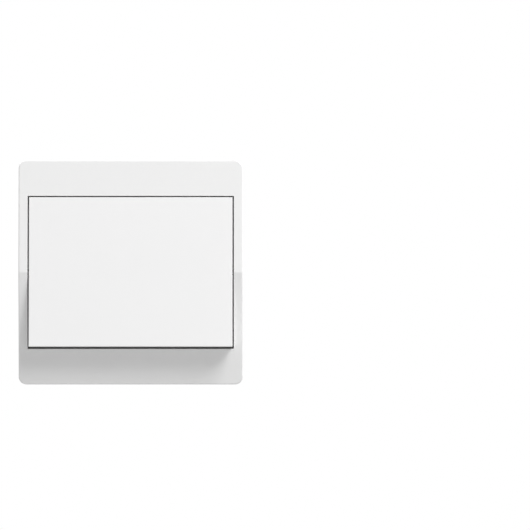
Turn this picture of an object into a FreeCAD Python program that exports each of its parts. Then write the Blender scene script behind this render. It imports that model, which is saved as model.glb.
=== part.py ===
import FreeCAD, Part
import math
import os
import re
import Sketcher

# A wall-mounted wireless switch: a square faceplate with a shallow ridge across its middle, and one
# see-saw rocker that lies flush with the upper or the lower half of the plate. Each press tips a small
# magnet between the legs of a coil's core, and that pulse powers the transmitter.
# X runs to the right, Z runs up and the front faces -Y. The wall is the plane Y = 0, and every depth
# below is measured from the wall towards the front.

os.makedirs("parts", exist_ok=True)
document = FreeCAD.newDocument("WallSwitch")

# Driving dimensions in millimetres, angles in degrees
SIZES = {
    # Faceplate
    "plate_side": 86,
    "plate_corner_radius": 3,
    "face_slope": 5.5,
    "edge_round": 0.4,
    "rim_wall": 1.7,
    "face_wall": 1.8,
    "wall_gap": 0.3,
    "side_strip": 3.45,
    "end_strip": 13.7,
    "window_edge_round": 0.15,
    "lining_wall": 1.2,
    "frame_rib_wall": 1,
    "frame_rib_spacing": 19,
    "notch_width": 10,
    "notch_height": 1.3,
    # Rocker
    "side_gap": 0.5,
    "end_gap": 0.45,
    "rocker_wall": 1.8,
    "rocker_edge_round": 0.2,
    "skirt_wall": 1.4,
    "skirt_overlap": 1.05,
    "pivot_setback": 2.5,
    "rocker_rib_spacing": 58,
    "level_rib_spacing": 24,
    "rocker_rib_wall": 1.2,
    "rocker_rib_height": 1.5,
    "tongue_height": 5.6,
    "tongue_slit": 0.8,
    # Bearings of the rocker
    "trunnion_radius": 1.1,
    "trunnion_reach": 1.9,
    "trunnion_chamfer": 0.3,
    "bearing_clearance": 0.06,
    "bearing_wall": 2.3,
    # Tray
    "tray_floor": 2,
    "tray_wall": 1.4,
    "tray_gap": 0.2,
    "tray_wall_height": 3.2,
    "tray_rib_height": 1.2,
    "tape_recess_depth": 0.4,
    "tape_recess_width": 60,
    "tape_recess_height": 16,
    "tape_recess_spacing": 50,
    # Wall screw slots
    "screw_spacing": 60.3,
    "slot_width": 4.5,
    "slot_length": 8,
    "collar_wall": 1.2,
    "collar_height": 1,
    # Snap catches between plate and tray
    "catch_spacing": 44,
    "catch_width": 8,
    "catch_height": 1.2,
    "catch_reach": 0.5,
    "catch_clearance": 0.15,
    "catch_bridge": 1.4,
    "catch_slit": 0.8,
    # Rubber stops, spaced in from the rocker's sides
    "stop_pad_height": 1.2,
    "stop_pad_length": 8,
    "stop_pad_width": 2.2,
    "stop_pad_spacing": 7.25,
    "stop_gap": 0.1,
    # Generator core and coil
    "leg_spacing": 11,
    "leg_width": 2.6,
    "leg_thickness": 1.6,
    "leg_tip": 1.4,
    "slide_fit": 0.05,
    "bobbin_length": 16,
    "bobbin_wall": 0.6,
    "flange_wall": 0.8,
    "flange_height": 7,
    "flange_depth": 6.2,
    "winding_margin": 0.5,
    "pin_width": 0.5,
    "part_gap": 0.4,
    # Armature
    "air_gap": 0.05,
    "magnet_length": 5.4,
    "magnet_height": 5,
    "pole_plate_length": 5.6,
    "pole_plate_wall": 0.8,
    "pole_overhang": 0.4,
    "armature_clearance": 0.45,
    "cage_wall": 1,
    "stub_radius": 0.9,
    "crossbar_height": 2.8,
    "crossbar_wall": 1.2,
    "spring_width": 5.2,
    "spring_thickness": 0.4,
    "rivet_radius": 0.45,
    "rivet_stand": 0.4,
    "rivet_spacing": 3,
    # Fork of the rocker, which holds the end of the spring
    "fork_inset": 8.7,
    "fork_thickness": 2.4,
    "fork_wall": 0.8,
    "fork_clearance": 0.1,
    # Generator bracket
    "bracket_base": 1,
    "bracket_margin": 1.4,
    "ear_wall": 1,
    "ear_height": 4.8,
    "channel_wall": 0.8,
    "channel_length": 5,
    # Circuit board
    "board_width": 54,
    "board_thickness": 0.8,
    "board_standoff": 0.8,
    "board_gap": 0.6,
    "board_screw_inset": 2,
    # Parts on the circuit board, with the places of their middles from its left end
    "rectifier_place": 7.5,
    "rectifier_length": 4.8,
    "rectifier_height": 3.8,
    "rectifier_depth": 1.5,
    "capacitor_place": 16,
    "capacitor_length": 7,
    "capacitor_radius": 1.9,
    "encoder_place": 25,
    "encoder_length": 4.9,
    "encoder_height": 3.9,
    "encoder_depth": 1.4,
    "lead_pitch": 1.27,
    "lead_width": 0.4,
    "lead_thickness": 0.2,
    "lead_reach": 1,
    "crystal_place": 31.5,
    "crystal_length": 3.2,
    "crystal_height": 2.5,
    "crystal_depth": 0.7,
    "transmitter_place": 37.5,
    "transmitter_side": 4,
    "transmitter_depth": 0.9,
    "small_part_length": 1,
    "small_part_width": 0.5,
    "resistor_depth": 0.35,
    "small_capacitor_depth": 0.5,
    "small_part_pitch": 2,
    "small_part_drop": 4.5,
    "antenna_length": 8,
    "antenna_inset": 1.3,
    "antenna_height": 3,
    "antenna_bend": 1,
    "antenna_wire_radius": 0.3,
    # Small screws
    "screw_head_radius": 1.45,
    "screw_head_height": 0.9,
    "cross_length": 1.75,
    "cross_width": 0.35,
    "cross_depth": 0.55,
    "screw_shank_radius": 0.65,
    "screw_hole_clearance": 0.15,
    "screw_bite": 1.5,
    "boss_wall": 1.3,
}

# Places and sizes that follow from the driving dimensions
LAYOUT = {
    "plate_half": "plate_side / 2",
    "rim_inside": "plate_half - rim_wall",
    "window_half_width": "plate_half - side_strip",
    "window_half_height": "plate_half - end_strip",
    "rocker_half_width": "window_half_width - side_gap",
    "rocker_half_height":
        "(window_half_height - end_gap - pivot_setback * sin(face_slope)) / cos(face_slope)",
    "skirt_depth": "2 * rocker_half_height * sin(face_slope) + skirt_overlap",
    "skirt_end": "skirt_depth - pivot_setback",
    "lip_back": "rocker_wall - pivot_setback",
    "stop_top": "tray_floor + stop_pad_height",
    "pivot_depth":
        "stop_top + stop_gap + skirt_end * cos(face_slope) + rocker_half_height * sin(face_slope)",
    "ridge_depth": "pivot_depth + pivot_setback / cos(face_slope)",
    "plate_edge_depth": "ridge_depth - plate_half * tan(face_slope)",
    "inner_ridge_depth": "ridge_depth - face_wall / cos(face_slope)",
    "middle_ridge_depth": "(ridge_depth + inner_ridge_depth) / 2",
    "tray_half": "rim_inside - tray_gap",
    "tray_wall_top": "tray_floor + tray_wall_height",
    "lining_depth": "tray_wall_top + part_gap",
    "catch_front": "tray_wall_top - catch_bridge",
    "catch_back": "catch_front - catch_height",
    "bearing_half": "trunnion_radius + bearing_wall",
    "leg_outside": "leg_spacing / 2 + leg_width / 2",
    "pole_gap_half": "(leg_thickness / 2 + leg_outside * tan(face_slope) + air_gap) * cos(face_slope)",
    "pole_plate_half_height": "leg_outside + pole_overhang",
    "armature_half_depth": "pole_gap_half + pole_plate_wall",
    "armature_swing": "armature_half_depth * cos(face_slope) + pole_plate_half_height * sin(face_slope)",
    "armature_depth": "tray_floor + armature_clearance + armature_swing",
    "cage_half_length": "magnet_length / 2 + cage_wall",
    "cage_half_height": "magnet_height / 2 + cage_wall",
    "ear_start": "cage_half_length + part_gap",
    "ear_end": "ear_start + ear_wall",
    "bobbin_start": "ear_end + part_gap",
    "bobbin_end": "bobbin_start + bobbin_length",
    "yoke_start": "bobbin_end + part_gap",
    "core_end": "yoke_start + leg_width",
    "flange_top": "leg_spacing / 2 + flange_height / 2",
    "flange_bottom": "leg_spacing / 2 - flange_height / 2",
    "bobbin_half_height": "leg_width / 2 + slide_fit + bobbin_wall",
    "bobbin_half_depth": "leg_thickness / 2 + slide_fit + bobbin_wall",
    "crossbar_top": "pole_plate_half_height + part_gap * 2",
    "crossbar_bottom": "crossbar_top + crossbar_height",
    "rivet_level": "-(crossbar_top + crossbar_bottom) / 2",
    "fork_distance": "rocker_half_height - fork_inset",
    "spring_end": "fork_distance + fork_thickness / 2 + 2 * part_gap",
    "fork_depth": "pivot_depth - armature_depth",
    "slot_half_depth": "spring_thickness / 2 + fork_clearance",
    "slot_half_width": "spring_width / 2 + part_gap",
    "bracket_top": "flange_top + bracket_margin",
    "bracket_bottom": "leg_outside + bracket_margin",
    "bracket_depth": "tray_floor + bracket_base",
    "tab_reach": "2 * (screw_head_radius + part_gap)",
    "bracket_end": "ear_end + tab_reach + part_gap",
    "right_tab_across": "bracket_end - tab_reach / 2",
    "right_tab_up": "bracket_top - tab_reach / 2",
    "left_tab_across": "-(yoke_start - tab_reach)",
    "left_tab_up": "-(bracket_bottom + tab_reach / 2)",
    "board_bottom": "bracket_top + board_gap",
    "board_top":
        "(rocker_half_height - skirt_wall) * cos(face_slope) - skirt_end * sin(face_slope) - board_gap",
    "board_middle": "(board_bottom + board_top) / 2",
    "board_screw_place": "board_width / 2 - board_screw_inset",
    "board_back": "tray_floor + board_standoff",
    "board_face": "board_back + board_thickness",
    "pin_depth": "board_face + pin_width",
    "rectifier_middle": "rectifier_place - board_width / 2",
    "capacitor_middle": "capacitor_place - board_width / 2",
    "encoder_middle": "encoder_place - board_width / 2",
    "crystal_middle": "crystal_place - board_width / 2",
    "transmitter_middle": "transmitter_place - board_width / 2",
    "antenna_level": "board_top - antenna_inset",
    "antenna_right": "board_screw_place - boss_radius - part_gap",
    "antenna_left": "antenna_right - antenna_length",
    "screw_hole_radius": "screw_shank_radius + screw_hole_clearance",
    "boss_radius": "screw_shank_radius + boss_wall",
}


def named(expression):
    """Puts the name of its sheet before each size in an expression."""

    def with_sheet(match):
        word = match.group(0)
        if word in SIZES:
            return f"Sizes.{word}"
        if word in LAYOUT:
            return f"Layout.{word}"
        return word

    return re.sub(r"[a-z_]+", with_sheet, str(expression))


def fill_sheet(name, contents):
    sheet = document.addObject("Spreadsheet::Sheet", name)
    for row, (alias, content) in enumerate(contents.items(), start=1):
        sheet.set(f"A{row}", alias)
        sheet.set(f"B{row}", content)
        sheet.setAlias(f"B{row}", alias)
    document.recompute()
    return sheet


sizes = fill_sheet("Sizes", {alias: str(number) for alias, number in SIZES.items()})
layout = fill_sheet("Layout", {
    alias: "=" + named(rule).replace("Layout.", "") for alias, rule in LAYOUT.items()})


def value(expression):
    return float(layout.evalExpression(named(expression)))


# Ways to build one body

def new_body(name, pieces=1):
    body = document.addObject("PartDesign::Body", name)
    body.Label = name
    body.AllowCompound = pieces > 1
    return body


def place_on_pivot(body, depth):
    """Puts a body's own origin on a pivot line, tipped to where it rests."""
    body.setExpression("Placement.Base.y", named(f"-{depth}"))
    body.setExpression("Placement.Rotation.Axis.x", "1")
    body.setExpression("Placement.Rotation.Axis.z", "0")
    body.setExpression("Placement.Rotation.Angle", named("-face_slope"))


def origin_feature(body, role):
    return next(item for item in body.Origin.OriginFeatures if item.Role == role)


def new_sketch(body, name, plane, offset="0"):
    """Starts a sketch. Front: X and Z, facing the front. Side: Y and Z, facing right. Top: X and Y."""
    roles = {"front": "XZ_Plane", "side": "YZ_Plane", "top": "XY_Plane"}
    sketch = body.newObject("Sketcher::SketchObject", name)
    sketch.AttachmentSupport = [(origin_feature(body, roles[plane]), "")]
    sketch.MapMode = "FlatFace"
    sketch.setExpression("AttachmentOffset.Base.z", named(offset))
    return sketch


def fix_points(sketch, fixes):
    """Holds points at distances from the sketch's origin: pairs of a line's vertex and its place."""
    rules = [(kind, geometry, vertex, rule)
             for geometry, vertex, across, up in fixes
             for kind, rule in (("DistanceX", across), ("DistanceY", up))]
    constraints = [Sketcher.Constraint(kind, -1, 1, geometry, vertex, value(rule))
                   for kind, geometry, vertex, rule in rules]
    indices = sketch.addConstraint(constraints)
    for index, (_, _, _, rule) in zip(indices, rules):
        sketch.setExpression(f"Constraints[{index}]", named(rule))


def polygon(sketch, corners):
    """Draws a closed outline through corners that are given as pairs of expressions."""
    first = sketch.GeometryCount
    count = len(corners)
    points = [FreeCAD.Vector(value(across), value(up), 0) for across, up in corners]
    lines = [Part.LineSegment(points[index], points[(index + 1) % count]) for index in range(count)]
    sketch.addGeometry(lines, False)
    joins = [Sketcher.Constraint("Coincident", first + index, 2, first + (index + 1) % count, 1)
             for index in range(count)]
    sketch.addConstraint(joins)
    fix_points(sketch, [(first + index, 1, *corners[index]) for index in range(count)])


def rectangle(sketch, left, right, bottom, top):
    polygon(sketch, [(left, bottom), (right, bottom), (right, top), (left, top)])


def circle(sketch, across, up, radius):
    index = sketch.GeometryCount
    centre = FreeCAD.Vector(value(across), value(up), 0)
    upright = FreeCAD.Vector(0, 0, 1)
    sketch.addGeometry(Part.Circle(centre, upright, value(radius)), False)
    fix_points(sketch, [(index, 3, across, up)])
    constraint = sketch.addConstraint(Sketcher.Constraint("Radius", index, value(radius)))
    sketch.setExpression(f"Constraints[{constraint}]", named(radius))


def stadium(sketch, middle, half_length, radius):
    """Draws a level slot with round ends, centred at a distance across."""
    first = sketch.GeometryCount
    left = f"{middle} - ({half_length} - {radius})"
    right = f"{middle} + ({half_length} - {radius})"
    start = FreeCAD.Vector(value(left), 0, 0)
    end = FreeCAD.Vector(value(right), 0, 0)
    out = FreeCAD.Vector(value(radius), 0, 0)
    rise = FreeCAD.Vector(0, value(radius), 0)
    sketch.addGeometry([
        Part.LineSegment(start - rise, end - rise),
        Part.Arc(end - rise, end + out, end + rise),
        Part.LineSegment(end + rise, start + rise),
        Part.Arc(start + rise, start - out, start - rise),
    ], False)
    sketch.addConstraint([
        Sketcher.Constraint("Coincident", first, 2, first + 1, 1),
        Sketcher.Constraint("Coincident", first + 1, 2, first + 2, 1),
        Sketcher.Constraint("Coincident", first + 2, 2, first + 3, 1),
        Sketcher.Constraint("Coincident", first + 3, 2, first, 1),
    ])
    fix_points(sketch, [
        (first, 1, left, f"-({radius})"),
        (first, 2, right, f"-({radius})"),
        (first + 2, 1, right, radius),
        (first + 2, 2, left, radius),
    ])
    for arc, centre in ((first + 1, right), (first + 3, left)):
        index = sketch.addConstraint(Sketcher.Constraint("DistanceX", -1, 1, arc, 3, value(centre)))
        sketch.setExpression(f"Constraints[{index}]", named(centre))


def extrude(kind, body, name, sketch, length, midplane=False, reverse=False):
    feature = body.newObject(kind, name)
    feature.Profile = sketch
    feature.setExpression("Length", named(length))
    feature.Midplane = midplane
    feature.Reversed = reverse
    sketch.Visibility = False
    return feature


def pad(body, name, sketch, length, **options):
    return extrude("PartDesign::Pad", body, name, sketch, length, **options)


def pocket(body, name, sketch, length, **options):
    return extrude("PartDesign::Pocket", body, name, sketch, length, **options)


def dress(kind, body, name, size, wanted):
    """Rounds or bevels those edges of the body so far that the test accepts."""
    document.recompute()
    base = body.Tip
    edges = [f"Edge{number}" for number, edge in enumerate(base.Shape.Edges, start=1) if wanted(edge)]
    feature = body.newObject(kind, name)
    feature.Base = (base, edges)
    feature.setExpression("Radius" if kind == "PartDesign::Fillet" else "Size", named(size))
    return feature


def fillet(body, name, size, wanted):
    return dress("PartDesign::Fillet", body, name, size, wanted)


def chamfer(body, name, size, wanted):
    return dress("PartDesign::Chamfer", body, name, size, wanted)


# Tests that pick edges

CLOSE = 0.001

# Places of four copies in a row, in steps from the row's middle
ROW_OF_FOUR = (-1.5, -0.5, 0.5, 1.5)


def spans(edge):
    box = edge.BoundBox
    return box.XLength, box.YLength, box.ZLength


def runs_along(edge, axis):
    return all(span < CLOSE for index, span in enumerate(spans(edge)) if index != axis)


def lies_at(edge, axis, distance):
    """True where the whole edge keeps one distance from the origin along an axis, on either side."""
    low = (edge.BoundBox.XMin, edge.BoundBox.YMin, edge.BoundBox.ZMin)[axis]
    return spans(edge)[axis] < CLOSE and abs(abs(low) - abs(distance)) < CLOSE


def upright_corner(edge, half_width, half_height):
    return runs_along(edge, 1) and lies_at(edge, 0, half_width) and lies_at(edge, 2, half_height)


def ridge_at(rule, height):
    """Depth of a surface parallel to the plate's face at some height above or below the ridge."""
    return f"({rule} - ({height}) * tan(face_slope))"


# Front frame: the white faceplate, a moulded shell with the ridge across its middle

def frame_shell(body):
    outside = new_sketch(body, "gable_outline", "side")
    polygon(outside, [
        ("-wall_gap", "-plate_half"),
        ("-plate_edge_depth", "-plate_half"),
        ("-ridge_depth", "0"),
        ("-plate_edge_depth", "plate_half"),
        ("-wall_gap", "plate_half"),
    ])
    pad(body, "gable_plate", outside, "plate_side", midplane=True)
    half = value("plate_half")
    fillet(body, "plate_corners", "plate_corner_radius", lambda edge: upright_corner(edge, half, half))
    radius = value("plate_corner_radius")
    flank = half - radius / 2

    def on_front_edge(edge):
        middle = edge.CenterOfMass
        outermost = max(abs(middle.x), abs(middle.z)) > flank
        return outermost and edge.BoundBox.YMax < -value("wall_gap") - CLOSE

    fillet(body, "plate_edge_round", "edge_round", on_front_edge)

    inside = new_sketch(body, "hollow_outline", "side")
    shoulder = "-" + ridge_at("inner_ridge_depth", "rim_inside")
    polygon(inside, [
        ("0", "-rim_inside"),
        (shoulder, "-rim_inside"),
        ("-inner_ridge_depth", "0"),
        (shoulder, "rim_inside"),
        ("0", "rim_inside"),
    ])
    pocket(body, "plate_hollow", inside, "2 * rim_inside", midplane=True)
    inner = value("rim_inside")
    fillet(body, "hollow_corners", "plate_corner_radius - rim_wall",
           lambda edge: upright_corner(edge, inner, inner))


def sloped_wall(body, name, sign, low, high, depth, length, across="0"):
    """Adds a wall inside the plate between two heights, from a depth up into the sloping face."""
    profile = new_sketch(body, name + "_profile", "side", across)
    polygon(profile, [
        (f"-({depth})", f"{sign} * ({low})"),
        (f"-({depth})", f"{sign} * ({high})"),
        ("-" + ridge_at("middle_ridge_depth", high), f"{sign} * ({high})"),
        ("-" + ridge_at("middle_ridge_depth", low), f"{sign} * ({low})"),
    ])
    pad(body, name, profile, length, midplane=True)


def frame_linings(body):
    """Walls above and below the window that guide the rocker's ends, with ribs out to the rim."""
    for end, sign in (("top", 1), ("bottom", -1)):
        outside = "window_half_height + lining_wall"
        sloped_wall(body, f"{end}_lining", sign, "window_half_height", outside, "lining_depth",
                    "2 * rim_inside")
        for place in ROW_OF_FOUR:
            name = f"{end}_rib_{'left' if place < 0 else 'right'}_{round(abs(place) + 0.5)}"
            across = f"{place} * frame_rib_spacing"
            depth = "lining_depth + part_gap"
            sloped_wall(body, name, sign, outside, "rim_inside", depth, "frame_rib_wall", across)


def frame_bearings(body):
    """Blocks beside the window with blind holes for the rocker's trunnions."""
    front = "-" + ridge_at("middle_ridge_depth", "bearing_half")
    for side, sign in (("right", 1), ("left", -1)):
        profile = new_sketch(body, f"{side}_bearing_profile", "side", f"{sign} * window_half_width")
        rectangle(profile, front, "bearing_half - pivot_depth", "-bearing_half", "bearing_half")
        reach = "rim_inside - window_half_width + part_gap"
        pad(body, f"{side}_bearing", profile, reach, reverse=sign < 0)
    hole = new_sketch(body, "trunnion_hole_outline", "side")
    circle(hole, "-pivot_depth", "0", "trunnion_radius + bearing_clearance")
    across = "2 * (rocker_half_width + trunnion_reach + 4 * bearing_clearance)"
    pocket(body, "trunnion_holes", hole, across, midplane=True)


def frame_window(body):
    outline = new_sketch(body, "window_outline", "front")
    rectangle(outline, "-window_half_width", "window_half_width",
              "-window_half_height", "window_half_height")
    pocket(body, "rocker_window", outline, "ridge_depth + edge_round", reverse=True)
    across = value("window_half_width")
    up = value("window_half_height")
    inner_front = value(ridge_at("inner_ridge_depth", "window_half_height"))

    def on_front_edge(edge):
        middle = edge.CenterOfMass
        beside = lies_at(edge, 0, across) and abs(middle.z) < up
        level = lies_at(edge, 2, up) and runs_along(edge, 0)
        return (beside or level) and middle.y < -inner_front - CLOSE and not runs_along(edge, 1)

    fillet(body, "window_edge_rounds", "window_edge_round", on_front_edge)


def frame_catches(body):
    """Wedges on the top and bottom rims that snap into the tray's windows."""
    for end, up in (("top", 1), ("bottom", -1)):
        for side, across in (("right", 1), ("left", -1)):
            profile = new_sketch(body, f"{end}_{side}_catch_profile", "side",
                                 f"{across} * catch_spacing / 2")
            root = f"{up} * (rim_inside + rim_wall / 2)"
            polygon(profile, [
                ("-catch_front", root),
                ("-catch_front", f"{up} * (rim_inside - catch_reach)"),
                ("-catch_front + catch_height / 3", f"{up} * (rim_inside - catch_reach)"),
                ("-catch_back", f"{up} * rim_inside"),
                ("-catch_back", root),
            ])
            pad(body, f"{end}_{side}_catch", profile, "catch_width", midplane=True)


def frame_notch(body):
    """Slot in the lower rim where a screwdriver prises the plate off."""
    outline = new_sketch(body, "notch_outline", "front", "notch_height + wall_gap")
    rectangle(outline, "-notch_width / 2", "notch_width / 2",
              "-plate_half - rim_wall", "-rim_inside + part_gap")
    pocket(body, "prising_notch", outline, "notch_height + wall_gap")


def make_front_frame():
    body = new_body("front_frame")
    frame_shell(body)
    frame_linings(body)
    frame_window(body)
    frame_bearings(body)
    frame_catches(body)
    frame_notch(body)
    return body


# Base tray: the part that is screwed or stuck to the wall and carries everything else

def tray_shell(body):
    outline = new_sketch(body, "tray_outline", "front")
    rectangle(outline, "-tray_half", "tray_half", "-tray_half", "tray_half")
    pad(body, "tray_block", outline, "tray_wall_top")
    half = value("tray_half")
    fillet(body, "tray_corners", "plate_corner_radius - rim_wall - tray_gap",
           lambda edge: upright_corner(edge, half, half))
    inside = new_sketch(body, "tray_inside_outline", "front", "tray_wall_top")
    edge_inside = "tray_half - tray_wall"
    rectangle(inside, f"-({edge_inside})", edge_inside, f"-({edge_inside})", edge_inside)
    pocket(body, "tray_inside", inside, "tray_wall_height")


def tray_screw_slots(body):
    """Two slots on the standard spacing, each with a raised collar that stiffens the floor."""
    collars = new_sketch(body, "collar_outline", "front", "tray_floor - collar_height / 2")
    slots = new_sketch(body, "slot_outline", "front", "tray_floor + 2 * collar_height")
    for sign in (1, -1):
        middle = f"{sign} * screw_spacing / 2"
        stadium(collars, middle, "(slot_length / 2 + collar_wall)", "(slot_width / 2 + collar_wall)")
        stadium(slots, middle, "slot_length / 2", "slot_width / 2")
    pad(body, "slot_collars", collars, "collar_height + collar_height / 2")
    pocket(body, "screw_slots", slots, "tray_floor + 3 * collar_height")


def tray_snap_windows(body):
    """Windows in the top and bottom walls for the plate's catches, with slits that free each arm."""
    windows = new_sketch(body, "snap_window_outline", "front", "catch_front + catch_clearance")
    slits = new_sketch(body, "snap_slit_outline", "front", "tray_wall_top + part_gap")
    half_window = "(catch_width / 2 + catch_clearance)"
    for across in (1, -1):
        middle = f"{across} * catch_spacing / 2"
        for up in (1, -1):
            inner = f"{up} * (tray_half - tray_wall - part_gap)"
            outer = f"{up} * (tray_half + part_gap)"
            rectangle(windows, f"{middle} - {half_window}", f"{middle} + {half_window}", inner, outer)
            for flank in (1, -1):
                near = f"{middle} + {flank} * (catch_width / 2 + 2 * catch_slit)"
                far = f"{middle} + {flank} * (catch_width / 2 + 3 * catch_slit)"
                rectangle(slits, near, far, inner, outer)
    pocket(body, "snap_windows", windows, "catch_height + 2 * catch_clearance")
    pocket(body, "snap_slits", slits, "tray_wall_height")


def tray_ribs(body):
    """Low ribs on the floor above and below the rocker's ends, in line with the plate's own ribs."""
    ribs = new_sketch(body, "tray_rib_outline", "front", "tray_floor - tray_rib_height / 2")
    for up in (1, -1):
        for place in ROW_OF_FOUR:
            middle = f"{place} * frame_rib_spacing"
            rectangle(ribs, f"{middle} - frame_rib_wall / 2", f"{middle} + frame_rib_wall / 2",
                      f"{up} * (window_half_height + lining_wall)", f"{up} * (tray_half - tray_wall / 2)")
    pad(body, "tray_ribs", ribs, "tray_rib_height + tray_rib_height / 2")


def tray_bosses(body):
    """Stand-offs under the circuit board, and the pilot holes for all the small screws."""
    bosses = new_sketch(body, "boss_outline", "front", "tray_floor / 2")
    board_holes = new_sketch(body, "board_pilot_outline", "front", "board_back")
    bracket_holes = new_sketch(body, "bracket_pilot_outline", "front", "tray_floor")
    pilot_radius = "screw_shank_radius + slide_fit"
    for sign in (1, -1):
        across = f"{sign} * board_screw_place"
        circle(bosses, across, "board_middle", "boss_radius")
        circle(board_holes, across, "board_middle", pilot_radius)
    circle(bosses, "0", "board_top - boss_radius", "boss_radius")
    circle(bracket_holes, "right_tab_across", "right_tab_up", pilot_radius)
    circle(bracket_holes, "left_tab_across", "left_tab_up", pilot_radius)
    pad(body, "board_bosses", bosses, "tray_floor / 2 + board_standoff")
    pocket(body, "board_pilots", board_holes, "screw_bite + slide_fit")
    pocket(body, "bracket_pilots", bracket_holes, "screw_bite + slide_fit")


def tray_tape_recesses(body):
    """Shallow beds for adhesive tape on the back, above and below the middle."""
    recesses = new_sketch(body, "tape_recess_outline", "front")
    for up in (1, -1):
        middle = f"{up} * tape_recess_spacing / 2"
        rectangle(recesses, "-tape_recess_width / 2", "tape_recess_width / 2",
                  f"{middle} - tape_recess_height / 2", f"{middle} + tape_recess_height / 2")
    pocket(body, "tape_recesses", recesses, "tape_recess_depth", reverse=True)


def make_base_tray():
    body = new_body("base_tray")
    tray_shell(body)
    tray_screw_slots(body)
    tray_snap_windows(body)
    tray_ribs(body)
    tray_bosses(body)
    tray_tape_recesses(body)
    return body


# Stop pads: four rubber blocks on the floor that the rocker's skirt comes down on

def make_stop_pads():
    body = new_body("stop_pads", pieces=4)
    outline = new_sketch(body, "stop_pad_outline", "front", "tray_floor")
    outer = "(rocker_half_height * cos(face_slope) - skirt_end * sin(face_slope) + part_gap)"
    for across in (1, -1):
        for up in (1, -1):
            middle = f"{across} * (rocker_half_width - stop_pad_spacing)"
            rectangle(outline, f"{middle} - stop_pad_length / 2", f"{middle} + stop_pad_length / 2",
                      f"{up} * ({outer} - stop_pad_width)", f"{up} * {outer}")
    pad(body, "stop_pad_blocks", outline, "stop_pad_height")
    return body


# Rocker: the white key, a shallow shell with its own origin on the pivot line

def rocker_shell(body):
    outline = new_sketch(body, "rocker_outline", "front", "-skirt_end")
    rectangle(outline, "-rocker_half_width", "rocker_half_width",
              "-rocker_half_height", "rocker_half_height")
    pad(body, "rocker_block", outline, "skirt_depth")
    front = value("pivot_setback")
    fillet(body, "rocker_face_round", "rocker_edge_round",
           lambda edge: lies_at(edge, 1, front) and edge.BoundBox.YMin < 0)
    inside = new_sketch(body, "rocker_hollow_outline", "front", "-skirt_end")
    across = "rocker_half_width - skirt_wall"
    up = "rocker_half_height - skirt_wall"
    rectangle(inside, f"-({across})", across, f"-({up})", up)
    pocket(body, "rocker_hollow", inside, "skirt_depth - rocker_wall", reverse=True)


def rocker_end_leans(body):
    """Leans both end skirts inwards behind the face, so that the proud one shows no side in front."""
    wedges = new_sketch(body, "end_lean_outline", "side")
    behind = "skirt_end + part_gap"
    for up in (1, -1):
        polygon(wedges, [
            ("lip_back", f"{up} * rocker_half_height"),
            ("lip_back", f"{up} * (rocker_half_height + part_gap)"),
            (behind, f"{up} * (rocker_half_height + part_gap)"),
            (behind, f"{up} * (rocker_half_height - ({behind} - lip_back) * tan(face_slope))"),
        ])
    pocket(body, "end_leans", wedges, "2 * (rocker_half_width + part_gap)", midplane=True)


def rocker_tongues(body):
    """Slits above and below each trunnion, so that the skirt can bend while it is snapped in."""
    slits = new_sketch(body, "tongue_slit_outline", "side")
    for up in (1, -1):
        near = f"{up} * tongue_height / 2"
        far = f"{up} * (tongue_height / 2 + tongue_slit)"
        rectangle(slits, "lip_back", "skirt_end + part_gap", near, far)
    pocket(body, "tongue_slits", slits, "2 * (rocker_half_width + part_gap)", midplane=True)


def rocker_ribs(body):
    """Two upright ribs and two level ones that keep the face flat."""
    start = "pivot_setback - rocker_wall - rocker_rib_height"
    uprights = new_sketch(body, "upright_rib_outline", "front", start)
    up = "rocker_half_height - skirt_wall / 2"
    for sign in (1, -1):
        middle = f"{sign} * rocker_rib_spacing / 2"
        rectangle(uprights, f"{middle} - rocker_rib_wall / 2", f"{middle} + rocker_rib_wall / 2",
                  f"-({up})", up)
    pad(body, "upright_ribs", uprights, "rocker_rib_height + rocker_wall / 2")
    levels = new_sketch(body, "level_rib_outline", "front", start)
    across = "rocker_half_width - skirt_wall / 2"
    for sign in (1, -1):
        middle = f"{sign} * level_rib_spacing / 2"
        rectangle(levels, f"-({across})", across,
                  f"{middle} - rocker_rib_wall / 2", f"{middle} + rocker_rib_wall / 2")
    pad(body, "level_ribs", levels, "rocker_rib_height + rocker_wall / 2")


def rocker_trunnions(body):
    root = "rocker_half_width - skirt_wall / 2"
    for side, sign in (("right", 1), ("left", -1)):
        pin = new_sketch(body, f"{side}_trunnion_outline", "side", f"{sign} * ({root})")
        circle(pin, "0", "0", "trunnion_radius")
        pad(body, f"{side}_trunnion", pin, "trunnion_reach + skirt_wall / 2", reverse=sign < 0)
    tip = value("rocker_half_width + trunnion_reach")
    chamfer(body, "trunnion_tips", "trunnion_chamfer", lambda edge: lies_at(edge, 0, tip))


def rocker_fork(body):
    """A closed window on a web below the pivot, which carries the end of the drive spring."""
    web = new_sketch(body, "fork_outline", "front", "-fork_depth - slot_half_depth - fork_wall")
    across = "slot_half_width + fork_wall"
    low = "-fork_distance - fork_thickness / 2"
    high = "-fork_distance + fork_thickness / 2"
    rectangle(web, f"-({across})", across, low, high)
    reach = "fork_depth + slot_half_depth + fork_wall + pivot_setback - rocker_wall / 2"
    pad(body, "fork_web", web, reach)
    slot = new_sketch(body, "fork_slot_outline", "top", f"{low} - part_gap")
    rectangle(slot, "-slot_half_width", "slot_half_width",
              "fork_depth - slot_half_depth", "fork_depth + slot_half_depth")
    pocket(body, "fork_slot", slot, "fork_thickness + 2 * part_gap", reverse=True)


def make_rocker():
    body = new_body("rocker")
    place_on_pivot(body, "pivot_depth")
    rocker_shell(body)
    rocker_end_leans(body)
    rocker_tongues(body)
    rocker_ribs(body)
    rocker_trunnions(body)
    rocker_fork(body)
    return body


# Generator core: a U of soft iron whose two legs end between the armature's pole plates

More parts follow.
